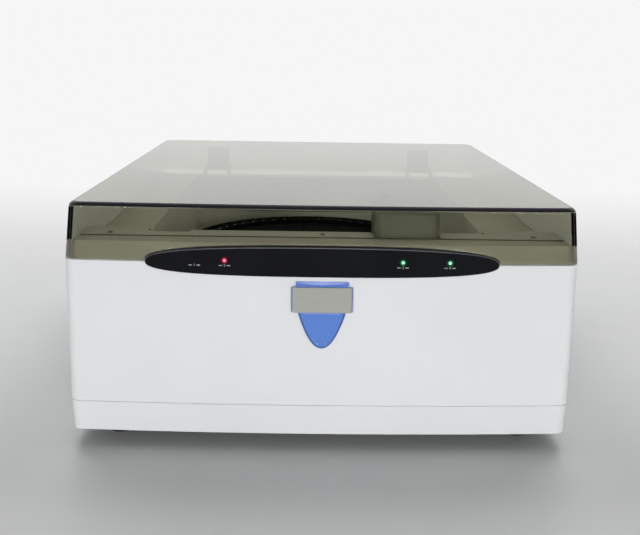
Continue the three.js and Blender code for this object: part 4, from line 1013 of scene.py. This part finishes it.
def make_lift_screw():
    """Four-start thread of 8 mm lead."""
    low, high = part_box("lift_screw")
    place = middle("lift_screw")
    radius = (high.x - low.x) / 2
    lead, starts, depth, sides = 8 * MM, 4, 0.7 * MM, 24
    steps = int((high.z - low.z) / (0.4 * MM))
    rings = []
    for i in range(steps + 1):
        z = low.z + (high.z - low.z) * i / steps
        ring = []
        for k in range(sides):
            turn = TURN * k / sides
            crest = abs(2 * (starts * (turn / TURN - (z - low.z) / lead) % 1) - 1)
            sink = depth * min(max(crest * 1.6 - 0.3, 0), 1)
            if min(z - low.z, high.z - z) < 1 * MM:
                sink = depth
            ring.append((*polar(place, radius - sink, turn), z))
        rings.append(ring)
    dress(soften(loft("threaded_screw", rings), 60), "lift_screw")


# Feet and screws
def make_feet():
    for node in [f"foot_{end}_{side}" for end in ("front", "rear") for side in SIDES]:
        low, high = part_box(node)
        radius = (high.x - low.x) / 2
        profile = in_mm(((0, 3), (4, 3), (4.6, 0.4), (5, 0)))
        profile += in_mm(((-1.5, 0), (-0.5, 0.5), (0, 1.5)), 0, radius)
        for z in (3, 6.2, 9.4):
            profile += in_mm(((0, 0), (-0.7, 0.5), (-0.7, 1.5), (0, 2)), z * MM, radius)
        profile += in_mm(((0, -0.6), (-0.6, 0)), high.z, radius) + [(0, high.z)]
        turned(node + "_moulded", profile, node)


def screw_head(name, place, radius, height):
    """A pan head with a cross recess, upright on its seat at place."""
    x, y, z = place
    crown = [(radius * cos(t), z + height * sin(t)) for t in quarter_turns(6)[:-1]]
    head = lathe(name, [(0, z), (radius, z)] + crown + [(0, z + height)], (x, y), 32)
    arm, half, depth = radius * 0.55, radius * 0.13, (z + height * 0.3, z + height * 2)
    return carve(head, *[
        block("bar", (x - u, x + u), (y - v, y + v), depth) for u, v in ((arm, half), (half, arm))
    ])


def make_ledge_screws():
    seat = ledge_z + 0.3 * MM
    for side in ("left", "middle", "right"):
        node = f"ledge_screw_{side}"
        low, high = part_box(node)
        x, y, _ = middle(node)
        head = screw_head(node + "_head", (x, y, seat), (high.x - low.x) / 2, high.z - seat)
        shaft = in_mm(((0, 0), (1, 0.6), (1.4, 2)), low.z) + [(1.4 * MM, seat), (0, seat)]
        shank = lathe("shank", shaft, (x, y), 24)
        dress(soften(gathered(node + "_turned", [head, shank])), node)


def make_panel_screws():
    """Pan head screws that hold the rear panel."""
    low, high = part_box("rear_panel")
    heads = []
    for x in (low.x + 9 * MM, 0.0, high.x - 9 * MM):
        for z in (low.z + 9 * MM, high.z - 9 * MM):
            head = screw_head("screw", (0, 0, 0), 3 * MM, 1.6 * MM)
            head.data.transform(posed((x, high.y, z), ("X", -90)))
            heads.append(head)
    attach(soften(gathered("rear_screws", heads)), "rear_panel", "steel")


def make_rocker_marks():
    """I and O on the power rocker, each on its own slope of the face."""
    ring = in_mm(((1.5, -0.05), (1.9, -0.05), (1.9, 0.05), (1.5, 0.05), (1.5, -0.05)))
    bar = block("mark_i", span(0, -0.35, 0.35), span(0, -1.8, 1.8), span(0, -0.05, 0.05))
    marks = [lathe("mark_o", ring, (0, 0), 32), bar]
    for mark, way in zip(marks, (-1, 1)):
        mark.data.transform(posed((0, 2.72 * MM, way * 6 * MM), ("X", -6.2 * way), ("Z", 180), ("X", 90)))
    piece = gathered("rocker_marks", marks)
    place = middle("power_rocker")
    piece.data.transform(posed((place.x, rear_y - 5 * MM, place.z), ("X", 7)))
    attach(piece, "power_rocker", "housing_white", print_white)


# Drive
def toothed_pulley(node, teeth, centre, bore=0.0):
    low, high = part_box(node)
    belt_low, belt_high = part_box("drive_belt")
    rim = max(dist(v.co[:2], centre) for v in nodes[node].data.vertices)
    wheel, bottom = rim - 3 * MM, belt_low.z - 2.5 * MM
    groove_low, groove_high = belt_low.z - 1 * MM, belt_high.z + 1 * MM

    def tooth(radius, height, turn):
        if abs(radius - wheel) > 0.01 * MM:
            return radius
        return radius - 0.3 * MM * (1 - cos(teeth * turn))

    profile = in_mm(((-0.3, 0), (0, 0.3)), bottom, rim) + [(rim, groove_low), (wheel, groove_low)]
    profile += [(wheel, groove_high), (rim, groove_high)] + in_mm(((0, -0.3), (-0.3, 0)), high.z, rim)
    profile.append((bore, high.z))
    if bore:
        profile = [(bore, bottom)] + profile + [(bore, bottom)]
    else:
        profile = in_mm(((0, 0), (2.5, 0)), low.z) + [(2.5 * MM, bottom)] + profile
    turned(node + "_toothed", profile, node, teeth * 6, centre, radius_at=tooth)


def make_bearings():
    for node in ("bearing_lower", "bearing_upper"):
        low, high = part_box(node)
        race = in_mm(((6.15, 0), (8, 0), (8.2, 0.5), (11.6, 0.5), (11.8, 0)))
        race += in_mm(((-0.4, 0), (0, 0.4)), 0, (high.x - low.x) / 2)
        profile = [(r, low.z + z) for r, z in race] + [(r, high.z - z) for r, z in reversed(race)]
        turned(node + "_turned", profile + profile[:1], node, 64, CENTRE)


def make_board():
    low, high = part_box("control_board")
    width, top = high.x - low.x, low.z + 1.6 * MM
    can = in_mm(((0, 0), (3.2, 0), (3.2, 1.4), (2.9, 1.8), (3.2, 2.2), (3.2, 8.5), (2.7, 9), (0, 9)), top)
    cans, boxes = [], []
    for i in range(5):
        spot = (low.x + (0.12 + 0.11 * i) * width, low.y + 0.86 * (high.y - low.y))
        cans.append(lathe("capacitor", can, spot, 24))
    for i in range(4):
        x, y = low.x + (0.2 + 0.18 * i) * width, low.y
        shell = block("header", span(x, 0, 14), span(y, 3, 8), span(top, 0, 7))
        boxes.append(carve(shell, block("hollow", span(x, 1, 13), span(y, 4, 7), span(top, 1.5, 8))))
    attach(soften(gathered("capacitors", cans)), "control_board", "motor_black", finishes["panel_black"])
    attach(round_edges(gathered("headers", boxes), 0.2 * MM), "control_board", "housing_white")


# Floor, backdrop, light and camera
FLOOR_REACH = 6.0
FLOOR_DARK = (0.02, 0.02, 0.022, 1)
WALL_WHITE = 0.92
FRONT_SHADE = 0.3
PLAIN_LEVEL = 0.27
FRONT_POWER = 2.55
TOP_POWER = 14


def make_floor():
    """A pale floor that goes over into the white wall behind, and mirrors a dark room before it."""
    corners = [(x * FLOOR_REACH, y * FLOOR_REACH, 0) for x, y in ((-1, -1), (1, -1), (1, 1), (-1, 1))]
    floor = mesh_object("floor", corners, [(0, 1, 2, 3)])
    made, tree, shader = new_material("pale_floor", Specular_IOR_Level=0.35)
    color = blend(ramp(noise(tree, 0.4)), 0xC6C7C7, 0xCBCCCC)
    feed(shader, {"Base Color": color, "Roughness": ramp(noise(tree, 0.05), 0.3, 0.36)})
    y, glossy = along(tree, "Y"), ray(tree, "Glossy")
    seen = calculate("MAXIMUM", ray(tree, "Camera"), ray(tree, "Transmission"))
    seen = calculate("MAXIMUM", seen, glossy)
    white = add_node(tree, "Emission", {"Color": (WALL_WHITE, WALL_WHITE, WALL_WHITE, 1)})
    dark = add_node(tree, "Emission", {"Color": FLOOR_DARK})
    shown = shader.outputs[0]
    for start, end, rays, light in ((0.15, 1.3, seen, white), (-0.4, -0.7, glossy, dark)):
        share = calculate("MULTIPLY", ramp(y, 0, 1, start, end, "SMOOTHSTEP"), rays)
        shown = mix_shaders(share, shown, light)
    feed(tree.nodes["Material Output"], {"Surface": shown})
    floor.data.materials.append(made)


def make_world():
    """White behind the object, darker before it, and one plain level for what lights it."""
    world = bpy.data.worlds.new("studio")
    bpy.context.scene.world = world
    world.use_nodes = True
    tree = world.node_tree
    y = add_node(tree, "SeparateXYZ", {0: add_node(tree, "TexCoord", {}, "Generated")}, "Y")
    level = ramp(y, FRONT_SHADE, 1.0, -0.25, 0.3, "SMOOTHSTEP")
    for kind, plain in (("Camera", WALL_WHITE), ("Diffuse", PLAIN_LEVEL)):
        level = add_node(tree, "Mix", {0: ray(tree, kind), 2: level, 3: plain}, data_type="FLOAT")
    feed(tree.nodes["Background"], {"Color": (1, 1, 1, 1), "Strength": level})


def make_light(name, place, target, width, height, power, spread=180):
    light = bpy.data.lights.new(name, "AREA")
    light.shape = "RECTANGLE"
    light.size, light.size_y, light.energy = width, height, power
    light.spread = radians(spread)
    made = add_object(name, light)
    made.location = place
    made.rotation_euler = (Vector(target) - Vector(place)).to_track_quat("-Z", "Y").to_euler()
    made.visible_glossy = False
    return made


def make_lights():
    """Low softboxes for the front, and two behind the top that let its shadow fall forward."""
    for side, way in zip(SIDES, (-1, 1)):
        make_light(f"{side}_softbox", (way * 2.4, -6.0, 1.0), (0, -0.25, 0.12), 1.6, 0.8, FRONT_POWER, 20)
        top = make_light(f"{side}_top_softbox", (way * 0.65, 0.75, 1.75), (0, 0, 0.1), 0.8, 1.1, TOP_POWER)
        top.visible_transmission = False


CAMERA_PLACE = (-0.01211, -0.96559, 0.34691)
# Yaw, pitch from straight down and roll, in degrees
CAMERA_TURNS = (("Z", -0.755), ("X", 78.368), ("Z", 0.936))
CAMERA_LENS = 48.916
CAMERA_SHIFT_Y = -0.0625
SENSOR_WIDTH = 36


def make_camera():
    data = bpy.data.cameras.new("camera")
    data.sensor_fit = "HORIZONTAL"
    data.sensor_width, data.lens, data.shift_y = SENSOR_WIDTH, CAMERA_LENS, CAMERA_SHIFT_Y
    camera = add_object("camera", data)
    camera.matrix_world = posed(CAMERA_PLACE, *CAMERA_TURNS)
    bpy.context.scene.camera = camera


bpy.context.scene.view_settings.view_transform = "Standard"
for node, slot in slot_of.items():
    if slot in finishes:
        for material_slot in nodes[node].material_slots:
            material_slot.material = finishes[slot]

make_camera()
make_world()
make_lights()
make_floor()

make_lid()
make_lid_edges()
make_status_panel()
# A black strip in the gap under the lid's cut-out, painted shade for the shadow in that gap, and a grey strip
# along the bevel's crest, a painted highlight where the bevel catches the light
upper_band("lens_gap_shade", None, 0.85 * MM, -0.8 * MM, -0.2 * MM, -0.2 * MM)
upper_band("lens_bevel_highlight", bevel_highlight_grey, -0.42 * MM, -1.0 * MM, 2.89 * MM, 2.46 * MM)
make_indicators()
make_panel_marks()
make_badge()
make_groove()
make_ledge_seal()
make_carousel()
make_racks()
make_carousel_marks()
make_knob()
make_spindle()
make_tower()
make_tip()
make_lift_screw()
for side in SIDES:
    round_bar(f"guide_rod_{side}", "_ground", "z", 0.4, 32)
    round_bar(f"hinge_pin_{side}", "_turned", "x", 0.5, 24)
# Nodes that keep their own shape: edge radius in millimetres, finish if not the slot's own, names
for width, finish, names in (
    (0.5, None, "base_skirt left_side_panel right_side_panel rear_panel"),
    (0.5, None, "lift_carriage lift_motor carousel_motor"),
    (0.5, front_shell_shaded_strip, "front_panel"),
    (0.5, deck_painted_shade, "deck_plate"),
    (0.5, ledge_finish, "front_ledge"),
    (0.5, well_painted_light, "carousel_well"),
    (0.3, None, "power_inlet switch_bezel power_rocker relay_connector drive_belt control_board"),
    (0.25, None, "tower_frame drive_bridge motor_bracket base_pan power_supply bearing_housing"),
    (0.25, hinge_sheet, "hinge_bracket_left hinge_bracket_right lid_hinge_leaf_left lid_hinge_leaf_right"),
):
    for node in names.split():
        refine(node, width * MM, finish)
make_feet()
make_ledge_screws()
make_panel_screws()
make_rocker_marks()
toothed_pulley("carousel_pulley", 72, CENTRE, HUB_BORE)
toothed_pulley("motor_pulley", 18, tuple(middle("motor_pulley"))[:2])
make_bearings()
make_board()
